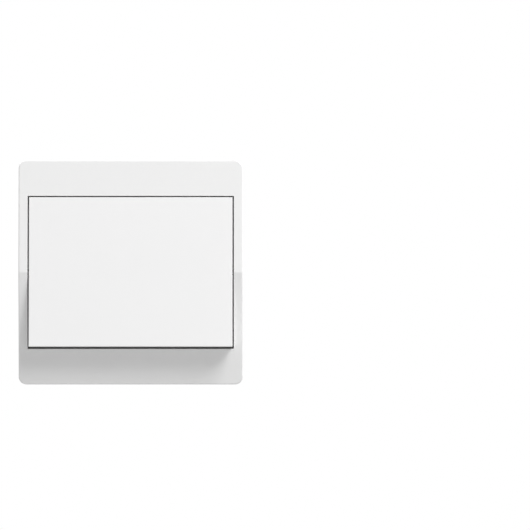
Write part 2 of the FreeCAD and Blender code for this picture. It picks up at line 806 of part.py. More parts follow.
def make_generator_core():
    body = new_body("generator_core")
    outline = new_sketch(body, "core_outline", "front", "armature_depth - leg_thickness / 2")
    inner = "leg_spacing / 2 - leg_width / 2"
    polygon(outline, [
        ("leg_tip", "-leg_outside"),
        ("leg_tip", f"-({inner})"),
        ("-yoke_start", f"-({inner})"),
        ("-yoke_start", inner),
        ("leg_tip", inner),
        ("leg_tip", "leg_outside"),
        ("-core_end", "leg_outside"),
        ("-core_end", "-leg_outside"),
    ])
    pad(body, "core_plate", outline, "leg_thickness")
    outer = value("leg_outside")
    end = value("core_end")
    fillet(body, "core_corners", "part_gap", lambda edge: upright_corner(edge, end, outer))
    return body


# Coil: a bobbin on the upper leg, its winding and two pins to the board

def coil_ring(body, name, start, length, half_height, half_depth):
    outline = new_sketch(body, name + "_outline", "side", f"-({start})")
    rectangle(outline, f"-armature_depth - ({half_depth})", f"-armature_depth + ({half_depth})",
              f"leg_spacing / 2 - ({half_height})", f"leg_spacing / 2 + ({half_height})")
    return pad(body, name, outline, length, reverse=True)


def coil_bore(body, name, half_height, half_depth):
    outline = new_sketch(body, name + "_outline", "side", "-bobbin_start + part_gap")
    rectangle(outline, f"-armature_depth - ({half_depth})", f"-armature_depth + ({half_depth})",
              f"leg_spacing / 2 - ({half_height})", f"leg_spacing / 2 + ({half_height})")
    pocket(body, name, outline, "bobbin_length + 2 * part_gap")


def make_coil_bobbin():
    body = new_body("coil_bobbin")
    coil_ring(body, "bobbin_tube", "bobbin_start", "bobbin_length",
              "bobbin_half_height", "bobbin_half_depth")
    for name, start in (("right_flange", "bobbin_start"), ("left_flange", "bobbin_end - flange_wall")):
        coil_ring(body, name, start, "flange_wall", "flange_height / 2", "flange_depth / 2")
    coil_bore(body, "bobbin_bore", "leg_width / 2 + slide_fit", "leg_thickness / 2 + slide_fit")
    return body


def make_coil_winding():
    body = new_body("coil_winding")
    height = "flange_height / 2 - winding_margin"
    depth = "flange_depth / 2 - winding_margin"
    length = "bobbin_length - 2 * flange_wall"
    coil_ring(body, "winding_block", "bobbin_start + flange_wall", length, height, depth)
    low = value(f"leg_spacing / 2 - ({height})")
    high = value(f"leg_spacing / 2 + ({height})")

    def on_corner(edge):
        middle = edge.CenterOfMass
        return runs_along(edge, 0) and (abs(middle.z - low) < CLOSE or abs(middle.z - high) < CLOSE)

    fillet(body, "winding_round", "flange_depth / 5", on_corner)
    coil_bore(body, "winding_bore", "bobbin_half_height", "bobbin_half_depth")
    return body


def make_coil_terminals():
    """Two square pins that rise from the bobbin's flanges and bend down onto the board."""
    body = new_body("coil_terminals", pieces=2)
    foot = "board_bottom + 3 * pin_width"
    middles = {"right": "bobbin_start + flange_wall / 2", "left": "bobbin_end - flange_wall / 2"}
    for name, middle in middles.items():
        outline = new_sketch(body, f"{name}_pin_outline", "side", f"-({middle})")
        polygon(outline, [
            ("-pin_depth", "flange_top"),
            ("-pin_depth", f"{foot} - pin_width"),
            ("-board_face", f"{foot} - pin_width"),
            ("-board_face", foot),
            ("-pin_depth - pin_width", foot),
            ("-pin_depth - pin_width", "flange_top"),
        ])
        pad(body, f"{name}_pin", outline, "pin_width", midplane=True)
    return body


# Generator bracket: holds the core, gives the armature its bearings and is screwed to the tray

def bracket_plate(body):
    outline = new_sketch(body, "bracket_outline", "front", "tray_floor")
    polygon(outline, [
        ("-core_end", "-bracket_bottom"),
        ("-core_end", "bracket_top"),
        ("bracket_end", "bracket_top"),
        ("bracket_end", "-part_gap"),
        ("ear_end", "-bracket_bottom"),
    ])
    pad(body, "bracket_base", outline, "bracket_base")
    tab = new_sketch(body, "left_tab_outline", "front", "tray_floor")
    rectangle(tab, "left_tab_across - tab_reach / 2", "left_tab_across + tab_reach / 2",
              "left_tab_up - tab_reach / 2", "-bracket_bottom + part_gap")
    pad(body, "left_tab", tab, "bracket_base")
    windows = new_sketch(body, "bracket_window_outline", "front", "bracket_depth")
    margin = "part_gap / 2"
    rectangle(windows, f"-bobbin_end - {margin}", f"-bobbin_start + {margin}",
              f"flange_bottom - {margin}", f"flange_top + {margin}")
    rectangle(windows, "-ear_start", "ear_start",
              "-bracket_bottom - part_gap", "pole_plate_half_height + part_gap")
    pocket(body, "bracket_windows", windows, "bracket_base")


def bracket_ears(body):
    profile_half = "ear_height / 2"
    top = "-armature_depth - stub_radius - ear_wall"
    for side, start in (("right", "ear_start"), ("left", "-ear_end")):
        profile = new_sketch(body, f"{side}_ear_profile", "side", start)
        rectangle(profile, top, "-tray_floor", f"-({profile_half})", profile_half)
        pad(body, f"{side}_ear", profile, "ear_wall")
    height = value(top)
    half = value(profile_half)
    fillet(body, "ear_tops", "ear_height / 3",
           lambda edge: runs_along(edge, 0) and lies_at(edge, 1, height) and lies_at(edge, 2, half))
    hole = new_sketch(body, "stub_hole_outline", "side")
    circle(hole, "-armature_depth", "0", "stub_radius + bearing_clearance")
    pocket(body, "stub_holes", hole, "2 * ear_end + part_gap", midplane=True)


def bracket_core_seats(body):
    """A post under the yoke, and a channel that the lower leg slides through."""
    post = new_sketch(body, "yoke_post_outline", "front", "bracket_depth - bracket_base / 2")
    rectangle(post, "-core_end", "-yoke_start", "-ear_height / 2", "ear_height / 2")
    pad(body, "yoke_post", post, "armature_depth - leg_thickness / 2 - bracket_depth + bracket_base / 2")
    start = "-bobbin_start - channel_length"
    block = new_sketch(body, "channel_outline", "side", start)
    wall = "(slide_fit + channel_wall)"
    rectangle(block, f"-armature_depth - leg_thickness / 2 - {wall}", "-bracket_depth + bracket_base / 2",
              f"-leg_outside - {wall}", f"-leg_spacing / 2 + leg_width / 2 + {wall}")
    pad(body, "leg_channel", block, "channel_length")
    bore = new_sketch(body, "channel_bore_outline", "side", f"{start} - part_gap")
    bore_half_depth = "(leg_thickness / 2 + slide_fit)"
    rectangle(bore, f"-armature_depth - {bore_half_depth}", f"-armature_depth + {bore_half_depth}",
              "-leg_outside - slide_fit", "-leg_spacing / 2 + leg_width / 2 + slide_fit")
    pocket(body, "leg_channel_bore", bore, "channel_length + 2 * part_gap", reverse=True)


def bracket_screw_holes(body):
    holes = new_sketch(body, "bracket_hole_outline", "front", "bracket_depth")
    circle(holes, "right_tab_across", "right_tab_up", "screw_hole_radius")
    circle(holes, "left_tab_across", "left_tab_up", "screw_hole_radius")
    pocket(body, "bracket_holes", holes, "bracket_base")


def make_generator_bracket():
    body = new_body("generator_bracket")
    bracket_plate(body)
    bracket_ears(body)
    bracket_core_seats(body)
    bracket_screw_holes(body)
    return body


# Armature: a magnet between two pole plates, in a moulded cage that tips on two stubs

def magnet_outline(sketch):
    rectangle(sketch, "-magnet_length / 2", "magnet_length / 2",
              "-magnet_height / 2", "magnet_height / 2")


def make_magnet():
    body = new_body("magnet")
    place_on_pivot(body, "armature_depth")
    outline = new_sketch(body, "magnet_outline", "front", "-pole_gap_half")
    magnet_outline(outline)
    pad(body, "magnet_block", outline, "2 * pole_gap_half")
    return body


def make_pole_plate(name, start):
    body = new_body(name)
    place_on_pivot(body, "armature_depth")
    outline = new_sketch(body, name + "_outline", "front", start)
    rectangle(outline, "-pole_plate_length / 2", "pole_plate_length / 2",
              "-pole_plate_half_height", "pole_plate_half_height")
    pad(body, name + "_sheet", outline, "pole_plate_wall")
    across = value("pole_plate_length / 2")
    up = value("pole_plate_half_height")
    fillet(body, name + "_corners", "part_gap", lambda edge: upright_corner(edge, across, up))
    return body


def make_magnet_carrier():
    """The cage round the magnet, its two bearing stubs and the arm that carries the spring."""
    body = new_body("magnet_carrier")
    place_on_pivot(body, "armature_depth")
    cage = new_sketch(body, "cage_outline", "front", "-pole_gap_half")
    rectangle(cage, "-cage_half_length", "cage_half_length", "-cage_half_height", "cage_half_height")
    pad(body, "cage_block", cage, "2 * pole_gap_half")
    pocket_outline = new_sketch(body, "cage_window_outline", "front", "pole_gap_half")
    magnet_outline(pocket_outline)
    pocket(body, "cage_window", pocket_outline, "2 * pole_gap_half")

    arm = new_sketch(body, "arm_outline", "front", "-crossbar_wall")
    rectangle(arm, "cage_half_length - cage_wall", "cage_half_length",
              "-crossbar_bottom", "-cage_half_height + part_gap")
    pad(body, "spring_arm", arm, "2 * crossbar_wall + spring_thickness / 2")
    bar = new_sketch(body, "crossbar_outline", "front", "spring_thickness / 2")
    rectangle(bar, "-spring_width / 2", "cage_half_length - cage_wall / 2",
              "-crossbar_bottom", "-crossbar_top")
    pad(body, "crossbar", bar, "crossbar_wall")

    rivets = new_sketch(body, "rivet_outline", "front", "-spring_thickness / 2 - rivet_stand")
    for sign in (1, -1):
        circle(rivets, f"{sign} * rivet_spacing / 2", "rivet_level", "rivet_radius")
    pad(body, "rivets", rivets, "rivet_stand + spring_thickness + crossbar_wall / 2")

    for side, sign in (("right", 1), ("left", -1)):
        stub = new_sketch(body, f"{side}_stub_outline", "side",
                          f"{sign} * (cage_half_length - cage_wall / 2)")
        circle(stub, "0", "0", "stub_radius")
        reach = "cage_wall / 2 + part_gap + ear_wall - slide_fit"
        pad(body, f"{side}_stub", stub, reach, reverse=sign < 0)
    return body


def make_drive_spring():
    """A leaf of spring steel, riveted to the arm, that slims towards its free end."""
    body = new_body("drive_spring")
    place_on_pivot(body, "armature_depth")
    outline = new_sketch(body, "spring_outline", "front", "-spring_thickness / 2")
    neck = "-(crossbar_bottom + fork_distance) / 2"
    polygon(outline, [
        ("-spring_width / 2", "-crossbar_top"),
        ("-spring_width / 2", "-crossbar_bottom"),
        ("-spring_width / 4", neck),
        ("-spring_width / 4", "-spring_end"),
        ("spring_width / 4", "-spring_end"),
        ("spring_width / 4", neck),
        ("spring_width / 2", "-crossbar_bottom"),
        ("spring_width / 2", "-crossbar_top"),
    ])
    pad(body, "spring_leaf", outline, "spring_thickness")
    holes = new_sketch(body, "rivet_hole_outline", "front", "spring_thickness / 2")
    for sign in (1, -1):
        circle(holes, f"{sign} * rivet_spacing / 2", "rivet_level", "rivet_radius + slide_fit")
    pocket(body, "rivet_holes", holes, "spring_thickness")
    return body


# Circuit board and what is soldered to it

def block(body, name, across, up, length, height, start, depth):
    """Adds a plain block on the front of something, centred across and up."""
    outline = new_sketch(body, name + "_outline", "front", start)
    rectangle(outline, f"{across} - {length} / 2", f"{across} + {length} / 2",
              f"{up} - {height} / 2", f"{up} + {height} / 2")
    return pad(body, name, outline, depth)


def make_circuit_board():
    body = new_body("circuit_board")
    block(body, "board_sheet", "0", "board_middle", "board_width", "(board_top - board_bottom)",
          "board_back", "board_thickness")
    document.recompute()
    half_width = value("board_width / 2")
    fillet(body, "board_corners", "board_thickness",
           lambda edge: runs_along(edge, 1) and lies_at(edge, 0, half_width))
    holes = new_sketch(body, "board_hole_outline", "front", "board_face")
    for sign in (1, -1):
        circle(holes, f"{sign} * board_screw_place", "board_middle", "screw_hole_radius")
    pocket(body, "board_holes", holes, "board_thickness")
    return body


def make_transmitter_chip():
    body = new_body("transmitter_chip")
    block(body, "transmitter_case", "transmitter_middle", "board_middle", "transmitter_side",
          "transmitter_side", "board_face", "transmitter_depth")
    return body


def make_encoder_chip():
    """A small chip in a moulded case, with four bent leads on each of its long sides."""
    body = new_body("encoder_chip")
    stand = "lead_thickness"
    block(body, "encoder_case", "encoder_middle", "board_middle", "encoder_length", "encoder_height",
          f"board_face + {stand}", "encoder_depth")
    knee = "(board_face + encoder_depth / 2)"
    for row in (1, -1):
        for number, place in enumerate(ROW_OF_FOUR):
            profile = new_sketch(body, f"lead_profile_{row + 2}_{number}", "side",
                                 f"encoder_middle + {place} * lead_pitch")
            root = f"board_middle + {row} * (encoder_height / 2 - lead_thickness)"
            bend = f"board_middle + {row} * (encoder_height / 2 + lead_reach / 2)"
            tip = f"board_middle + {row} * (encoder_height / 2 + lead_reach)"
            polygon(profile, [
                (f"-{knee}", root),
                (f"-{knee}", bend),
                ("-board_face - lead_thickness", bend),
                ("-board_face - lead_thickness", tip),
                ("-board_face", tip),
                ("-board_face", f"{bend} - {row} * lead_thickness"),
                (f"-{knee} + lead_thickness", f"{bend} - {row} * lead_thickness"),
                (f"-{knee} + lead_thickness", root),
            ])
            pad(body, f"lead_{row + 2}_{number}", profile, "lead_width", midplane=True)
    return body


def make_storage_capacitor():
    """A small electrolytic can that lies along the board, with two bent leads at its left end."""
    body = new_body("storage_capacitor")
    axis_depth = "(board_face + capacitor_radius)"
    left = "capacitor_middle - capacitor_length / 2"
    can = new_sketch(body, "can_outline", "side", left)
    circle(can, f"-{axis_depth}", "board_middle", "capacitor_radius")
    pad(body, "can", can, "capacitor_length")
    ends = [value(left), value("capacitor_middle + capacitor_length / 2")]

    def on_rim(edge):
        return spans(edge)[0] < CLOSE and min(abs(edge.CenterOfMass.x - end) for end in ends) < CLOSE

    chamfer(body, "can_rims", "capacitor_radius / 6", on_rim)
    for name, sign in (("upper", 1), ("lower", -1)):
        up = f"board_middle + {sign} * capacitor_radius / 2"
        block(body, f"{name}_lead_run", f"({left} - lead_reach / 2 + lead_width / 2)", f"({up})",
              "(lead_reach + lead_width)", "lead_width", f"{axis_depth} - lead_width / 2", "lead_width")
        block(body, f"{name}_lead_foot", f"({left} - lead_reach + lead_width / 2)", f"({up})",
              "lead_width", "lead_width", "board_face", f"{axis_depth} - board_face")
    return body


def make_rectifier():
    body = new_body("rectifier")
    block(body, "rectifier_case", "rectifier_middle", "board_middle", "rectifier_length",
          "rectifier_height", "board_face", "rectifier_depth")
    for row in (1, -1):
        for column in (1, -1):
            across = f"(rectifier_middle + {column} * rectifier_length / 4)"
            up = f"(board_middle + {row} * rectifier_height / 2)"
            block(body, f"rectifier_lead_{row + 2}_{column + 2}", across, up,
                  "2 * lead_width", "2 * lead_reach", "board_face", "lead_thickness")
    return body


def make_crystal():
    body = new_body("crystal")
    block(body, "crystal_case", "crystal_middle", "board_middle", "crystal_length", "crystal_height",
          "board_face", "crystal_depth")
    across = value("crystal_length / 2")
    middle = value("crystal_middle")
    up = value("crystal_height / 2")
    centre = value("board_middle")

    def on_corner(edge):
        point = edge.CenterOfMass
        return (runs_along(edge, 1) and abs(abs(point.x - middle) - across) < CLOSE
                and abs(abs(point.z - centre) - up) < CLOSE)

    fillet(body, "crystal_corners", "crystal_height / 6", on_corner)
    return body


CAPACITOR_PLACES = ("capacitor_middle", "encoder_middle", "crystal_middle", "transmitter_middle")
RESISTOR_PLACES = (
    "rectifier_middle",
    "capacitor_middle",
    "(encoder_middle - small_part_pitch / 2)",
    "(encoder_middle + small_part_pitch / 2)",
    "transmitter_middle",
)


def make_small_parts(name, places, depth, side):
    """A row of soldered chips of one kind, above or below the larger parts that they serve."""
    body = new_body(name, pieces=len(places))
    outline = new_sketch(body, name + "_outline", "front", "board_face")
    middle = f"(board_middle + {side} * small_part_drop)"
    for place in places:
        rectangle(outline, f"{place} - small_part_length / 2", f"{place} + small_part_length / 2",
                  f"{middle} - small_part_width / 2", f"{middle} + small_part_width / 2")
    pad(body, name + "_row", outline, depth)
    return body


def make_antenna_wire():
    """A loop of wire that stands on the board as the aerial, bent down to a foot at each end."""
    body = new_body("antenna_wire")
    route = new_sketch(body, "antenna_route", "top", "antenna_level")
    left = "antenna_left"
    right = "antenna_right"
    low = "-board_face"
    high = "-board_face - antenna_height"
    bend = "antenna_bend"
    corner = value(bend)
    lift = FreeCAD.Vector(0, -corner, 0)
    along = FreeCAD.Vector(corner, 0, 0)
    foot = FreeCAD.Vector(value(left), value(low), 0)
    top_left = FreeCAD.Vector(value(left), value(high), 0)
    top_right = FreeCAD.Vector(value(right), value(high), 0)
    far_foot = FreeCAD.Vector(value(right), value(low), 0)
    inner = corner * (1 - math.sqrt(0.5))
    left_knee = top_left + FreeCAD.Vector(inner, inner, 0)
    right_knee = top_right + FreeCAD.Vector(-inner, inner, 0)
    route.addGeometry([
        Part.LineSegment(foot, top_left - lift),
        Part.Arc(top_left - lift, left_knee, top_left + along),
        Part.LineSegment(top_left + along, top_right - along),
        Part.Arc(top_right - along, right_knee, top_right - lift),
        Part.LineSegment(top_right - lift, far_foot),
    ], False)
    fix_points(route, [
        (0, 1, left, low),
        (0, 2, left, f"{high} + {bend}"),
        (2, 1, f"{left} + {bend}", high),
        (2, 2, f"{right} - {bend}", high),
        (4, 1, right, f"{high} + {bend}"),
        (4, 2, right, low),
        (1, 3, f"{left} + {bend}", f"{high} + {bend}"),
        (3, 3, f"{right} - {bend}", f"{high} + {bend}"),
    ])
    wire = new_sketch(body, "antenna_wire_outline", "front", "board_face")
    circle(wire, left, "antenna_level", "antenna_wire_radius")
    document.recompute()
    pipe = body.newObject("PartDesign::AdditivePipe", "antenna_loop")
    pipe.Profile = wire
    pipe.Spine = route
    return body


# Small screws: pan heads with a cross recess, in the board's bosses and the bracket's tabs

def make_screws(name, places, seat, length):
    body = new_body(name, pieces=len(places))
    shanks = new_sketch(body, name + "_shank_outline", "front", f"{seat} - {length}")
    heads = new_sketch(body, name + "_head_outline", "front", seat)
    crosses = new_sketch(body, name + "_cross_outline", "front", f"{seat} + screw_head_height")
    long = "cross_length / 2"
    short = "cross_width / 2"
    for across, up in places:
        circle(shanks, across, up, "screw_shank_radius")
        circle(heads, across, up, "screw_head_radius")
        polygon(crosses, [
            (f"{across} - {long}", f"{up} - {short}"),
            (f"{across} - {short}", f"{up} - {short}"),
            (f"{across} - {short}", f"{up} - {long}"),
            (f"{across} + {short}", f"{up} - {long}"),
            (f"{across} + {short}", f"{up} - {short}"),
            (f"{across} + {long}", f"{up} - {short}"),
            (f"{across} + {long}", f"{up} + {short}"),
            (f"{across} + {short}", f"{up} + {short}"),
            (f"{across} + {short}", f"{up} + {long}"),
            (f"{across} - {short}", f"{up} + {long}"),
            (f"{across} - {short}", f"{up} + {short}"),
            (f"{across} - {long}", f"{up} + {short}"),
        ])
    pad(body, name + "_shanks", shanks, length)
    pad(body, name + "_heads", heads, "screw_head_height")
    top = value(f"{seat} + screw_head_height")
    chamfer(body, name + "_head_bevels", "screw_head_height / 3", lambda edge: lies_at(edge, 1, top))
    pocket(body, name + "_crosses", crosses, "cross_depth")
    return body


def make_board_screws():
    places = [(f"{sign} * board_screw_place", "board_middle") for sign in (1, -1)]
    return make_screws("board_screws", places, "board_face", "(board_thickness + screw_bite)")


def make_bracket_screws():
    places = [("right_tab_across", "right_tab_up"), ("left_tab_across", "left_tab_up")]
    return make_screws("bracket_screws", places, "bracket_depth", "(bracket_base + screw_bite)")


# Build, check and write every piece

def faults(body):
    """Lists what went wrong in one body: failed features, empty shapes and cuts that cut nothing."""
    found = []
    for feature in body.Group:
        if "Invalid" in feature.State or "Error" in feature.State:
            found.append(f"{feature.Label}: {feature.State}")
        if getattr(feature, "AddSubType", "") == "Subtractive":
            before = feature.BaseFeature.Shape.Volume
            if feature.Shape.Volume > before - CLOSE:
                found.append(f"{feature.Label}: cuts nothing")
    if body.Shape.isNull() or not body.Shape.isValid():
        found.append(f"{body.Label}: no valid shape")
    return found


bodies = [
    make_front_frame(),
    make_base_tray(),
    make_stop_pads(),
    make_rocker(),
    make_generator_core(),
    make_coil_bobbin(),
    make_coil_winding(),
    make_coil_terminals(),
    make_generator_bracket(),
    make_magnet(),
    make_pole_plate("front_pole_plate", "pole_gap_half"),
    make_pole_plate("rear_pole_plate", "-armature_half_depth"),
    make_magnet_carrier(),
    make_drive_spring(),
    make_circuit_board(),
    make_transmitter_chip(),
    make_encoder_chip(),
    make_storage_capacitor(),
    make_rectifier(),
    make_crystal(),
    make_small_parts("chip_resistors", RESISTOR_PLACES, "resistor_depth", 1),
    make_small_parts("chip_capacitors", CAPACITOR_PLACES, "small_capacitor_depth", -1),
    make_antenna_wire(),
    make_board_screws(),
    make_bracket_screws(),
]
document.recompute()

problems = [problem for body in bodies for problem in faults(body)]
if problems:
    raise RuntimeError("; ".join(problems))
for body in bodies:
    body.Shape.exportStep(f"parts/{body.Label}.step")
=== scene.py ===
import math

import bmesh
import bpy
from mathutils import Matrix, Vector


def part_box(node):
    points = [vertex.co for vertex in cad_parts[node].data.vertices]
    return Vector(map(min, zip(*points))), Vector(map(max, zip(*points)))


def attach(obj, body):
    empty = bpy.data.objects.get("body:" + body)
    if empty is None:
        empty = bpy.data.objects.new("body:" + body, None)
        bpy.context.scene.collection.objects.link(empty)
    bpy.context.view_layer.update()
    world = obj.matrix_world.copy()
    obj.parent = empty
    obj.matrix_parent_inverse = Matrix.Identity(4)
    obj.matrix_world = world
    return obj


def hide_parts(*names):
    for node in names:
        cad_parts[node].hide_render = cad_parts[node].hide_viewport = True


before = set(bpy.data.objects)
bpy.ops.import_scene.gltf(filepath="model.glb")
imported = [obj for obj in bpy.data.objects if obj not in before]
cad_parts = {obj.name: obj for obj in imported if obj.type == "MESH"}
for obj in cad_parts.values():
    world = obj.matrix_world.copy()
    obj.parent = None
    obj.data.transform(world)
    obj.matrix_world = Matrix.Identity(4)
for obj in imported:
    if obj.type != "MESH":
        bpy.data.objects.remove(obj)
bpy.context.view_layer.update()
bpy.context.scene.view_settings.view_transform = "Standard"


# Camera
# A long lens straight in front, so far away that the sides of the switch don't show. The switch hangs
# left of the picture's middle, so the camera stands that much to its right and a little above it.
MM = 0.001
IMAGE_SIDE = 530
MM_PER_PIXEL = 0.3833
PICTURE_MIDDLE = Vector((51.53, 0, 2.85)) * MM
CAMERA_DISTANCE = 3000 * MM
CAMERA_REACH = 4 * CAMERA_DISTANCE
SENSOR_WIDTH = 36
LOOKING_LEVEL = (math.radians(90), 0, 0)

bpy.ops.object.select_all(action="DESELECT")
bpy.ops.object.camera_add()
camera = bpy.context.object
camera.name = "camera"
camera.rotation_euler = LOOKING_LEVEL
camera.location = PICTURE_MIDDLE - Vector((0, CAMERA_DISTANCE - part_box("front_frame")[0].y, 0))
camera.data.sensor_width = SENSOR_WIDTH
camera.data.lens = SENSOR_WIDTH * CAMERA_DISTANCE / (IMAGE_SIDE * MM_PER_PIXEL * MM)
camera.data.clip_end = CAMERA_REACH
bpy.context.scene.camera = camera


# Base tray
# The shallow white tray that is screwed to the wall, injection-moulded in ABS with a matt spark-eroded
# skin. Its back has smooth beds for tape and the gate's dimple, its floor the discs of ejector pins.
EDGE_BLUR = 0.04
CLOUDS_PER_MM = 0.05
POLISH_PER_MM = 0.4
POLISH_SPREAD = 0.08

# The Mix node's sockets for colours share their names with those for numbers, so they go by place.
MIX_SHARE = 0
MIX_FIRST = 6
MIX_SECOND = 7
MIX_RESULT = 2


class Signal:
    """A number that varies over a surface. Sums written with it add Math nodes."""

    def __init__(self, finish, socket):
        self.finish = finish
        self.socket = socket

    def __add__(self, other):
        return self.finish.math("ADD", self, other)

    __radd__ = __add__

    def __sub__(self, other):
        return self.finish.math("SUBTRACT", self, other)

    def __rsub__(self, other):
        return self.finish.math("SUBTRACT", other, self)

    def __mul__(self, other):
        return self.finish.math("MULTIPLY", self, other)

    __rmul__ = __mul__

    def __truediv__(self, other):
        return self.finish.math("DIVIDE", self, other)

    def __abs__(self):
        return self.finish.math("ABSOLUTE", self)

    def most(self, other):
        return self.finish.math("MAXIMUM", self, other)

    def clamped(self):
        return self.finish.add("ShaderNodeClamp", None, {"Value": self})

    def above(self, edge, blur=EDGE_BLUR):
        return ((self - edge) / blur + 0.5).clamped()

    def below(self, edge, blur=EDGE_BLUR):
        return ((edge - self) / blur + 0.5).clamped()

    def within(self, middle, half, blur=EDGE_BLUR):
        """One where the value is no further than half from the middle, and nought beyond that."""
        return abs(self - middle).below(half, blur)

    def repeated(self, pitch):
        """The distance from the nearest whole number of pitches."""
        return (self.finish.math("FRACT", self / pitch + 0.5) - 0.5) * pitch


class Finish:
    """The nodes of one material, or of the world, on Object coordinates in millimetres."""

    def __init__(self, name, kind="materials"):
        self.owner = getattr(bpy.data, kind).new(name)
        self.owner.use_nodes = True
        self.owner.node_tree.nodes.clear()
        here = self.add("ShaderNodeTexCoord", out="Object")
        self.place = self.add("ShaderNodeMapping", None, {"Vector": here, "Scale": (1 / MM,) * 3})
        axes = self.add("ShaderNodeSeparateXYZ", None, {"Vector": self.place}).socket.node
        self.x, self.y, self.z = (Signal(self, socket) for socket in axes.outputs)

    def add(self, kind, settings=None, values=None, out=0):
        """Adds a node, sets it up, gives its sockets values or links, and returns one output."""
        node = self.owner.node_tree.nodes.new(kind)
        for name, setting in (settings or {}).items():
            setattr(node, name, setting)
        for name, given in (values or {}).items():
            if isinstance(given, Signal):
                self.owner.node_tree.links.new(given.socket, node.inputs[name])
            else:
                node.inputs[name].default_value = given
        return Signal(self, node.outputs[out]) if node.outputs else node

    def math(self, operation, first, second=0.0):
        return self.add("ShaderNodeMath", {"operation": operation}, {0: first, 1: second})

    def distance(self, first, second):
        return self.math("SQRT", first * first + second * second)

    def noise(self, per_mm, detail, stretch=(1, 1, 1)):
        where = self.add("ShaderNodeMapping", None, {"Vector": self.place, "Scale": stretch})
        return self.add("ShaderNodeTexNoise", None, {"Vector": where, "Scale": per_mm, "Detail": detail})

    def tint(self, share, first, second):
        """The first colour where the share is nought, the second where it is one."""
        return self.add("ShaderNodeMix", {"data_type": "RGBA"},
                        {MIX_SHARE: share, MIX_FIRST: first, MIX_SECOND: second}, MIX_RESULT)

    def relief(self, height, depth):
        """Raises the surface by the height, of which one is as much as the depth in millimetres."""
        return self.add("ShaderNodeBump", None, {"Height": height, "Distance": depth * MM})

    def clouded(self, colours):
        """The colour of moulded plastic, which drifts a little between two tones."""
        return self.tint(self.noise(CLOUDS_PER_MM, detail=3), *colours)

    def polished(self, roughness):
        """The roughness of moulded plastic, which drifts a little as the mould's polish does."""
        return roughness + POLISH_SPREAD * (self.noise(POLISH_PER_MM, detail=3) - 0.5)

    def shade(self, **sockets):
        """Feeds the shader's sockets, named with underscores for spaces."""
        named = {name.replace("_", " "): value for name, value in sockets.items()}
        shader = self.add("ShaderNodeBsdfPrincipled", None, named)
        self.add("ShaderNodeOutputMaterial", None, {"Surface": shader})
        return self

    def dress(self, *pieces):
        """Gives the finish to new pieces, and to the nodes that are named."""
        for piece in pieces:
            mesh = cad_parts[piece].data if isinstance(piece, str) else piece.data
            mesh.materials.clear()
            mesh.materials.append(self.owner)


def rectangle(across, up, left, right, bottom, top, blur=EDGE_BLUR):
    """One between left and right and between bottom and top, and nought outside."""
    return (across.within((left + right) / 2, (right - left) / 2, blur)
            * up.within((bottom + top) / 2, (top - bottom) / 2, blur))


BED_HALF_WIDTH = 30.0
BED_HALF_HEIGHT = 8.0
BED_MIDDLE = 25.0
GATE_RADIUS = 2.5
GATE_BLUR = 0.3
GATE_DEPTH = 0.1
NUB_RADIUS = 0.6
NUB_BLUR = 0.1
NUB_SHARE = 0.8
PIN_RADIUS = 2.0
PIN_SHARE = 0.5
PIN_PLACES = ((-35, -33), (0, -33), (35, -33), (-35, 12), (35, 12), (22, -10), (-33, 33), (33, 33))
SPARK_SHARE = 0.08
SPARKS_PER_MM = 5
BACK_SKIN = -0.5
INNER_SKIN = -1.5
TRAY_WHITES = ((0.80, 0.80, 0.79, 1), (0.76, 0.76, 0.75, 1))
TRAY_ROUGHNESS = 0.55
SMOOTH_GLOSS = 0.22

tray = Finish("tray_texture")
on_back = tray.y.above(BACK_SKIN)
beds = on_back * rectangle(tray.x, abs(tray.z), -BED_HALF_WIDTH, BED_HALF_WIDTH,
                           BED_MIDDLE - BED_HALF_HEIGHT, BED_MIDDLE + BED_HALF_HEIGHT)
from_gate = tray.distance(tray.x, tray.z)
nub = NUB_SHARE * from_gate.below(NUB_RADIUS, NUB_BLUR)
gate = on_back * (from_gate.below(GATE_RADIUS, GATE_BLUR) - nub)
pin_discs = 0
for pin_x, pin_z in PIN_PLACES:
    pin_discs = pin_discs + tray.distance(tray.x - pin_x, tray.z - pin_z).below(PIN_RADIUS)
pin_discs = pin_discs * tray.y.below(INNER_SKIN)
smooth = beds.most(pin_discs)
sparks = tray.noise(SPARKS_PER_MM, detail=2) * (1 - smooth)
tray.shade(
    Base_Color=tray.clouded(TRAY_WHITES),
    Roughness=tray.polished(TRAY_ROUGHNESS - SMOOTH_GLOSS * smooth),
    Normal=tray.relief(SPARK_SHARE * sparks - gate - PIN_SHARE * pin_discs, GATE_DEPTH),
)
tray.dress("base_tray")


# Stop pads
# Four soft blocks of dark silicone rubber, bonded to the tray's floor. The rocker's skirt lands on
# them, which takes the click out of the end of each stroke.
def grained(name, colours, marks, marks_depth, roughness, clouds=None, marks_in_colour=0,
            marks_in_roughness=0, clouds_in_roughness=0, **sockets):
    """A surface with fine marks in relief, and with clouds of another scale where they are given."""
    finish = Finish(name)
    fine = finish.noise(**marks)
    broad = finish.noise(**clouds) if clouds else fine
    share = marks_in_colour * fine + (1 - marks_in_colour) * broad if marks_in_colour else broad
    for pattern, strength in ((fine, marks_in_roughness), (broad, clouds_in_roughness)):
        if strength:
            roughness = roughness + strength * (pattern - 0.5)
    return finish.shade(
        Base_Color=finish.tint(share, *colours),
        Roughness=roughness,
        Normal=finish.relief(fine, marks_depth),
        **sockets,
    )


grained(
    "stop_rubber_grain",
    colours=((0.020, 0.020, 0.022, 1), (0.055, 0.054, 0.052, 1)),
    marks={"per_mm": 3, "detail": 4},
    marks_depth=0.02,
    roughness=0.72,
    marks_in_roughness=0.15,
).dress("stop_pads")


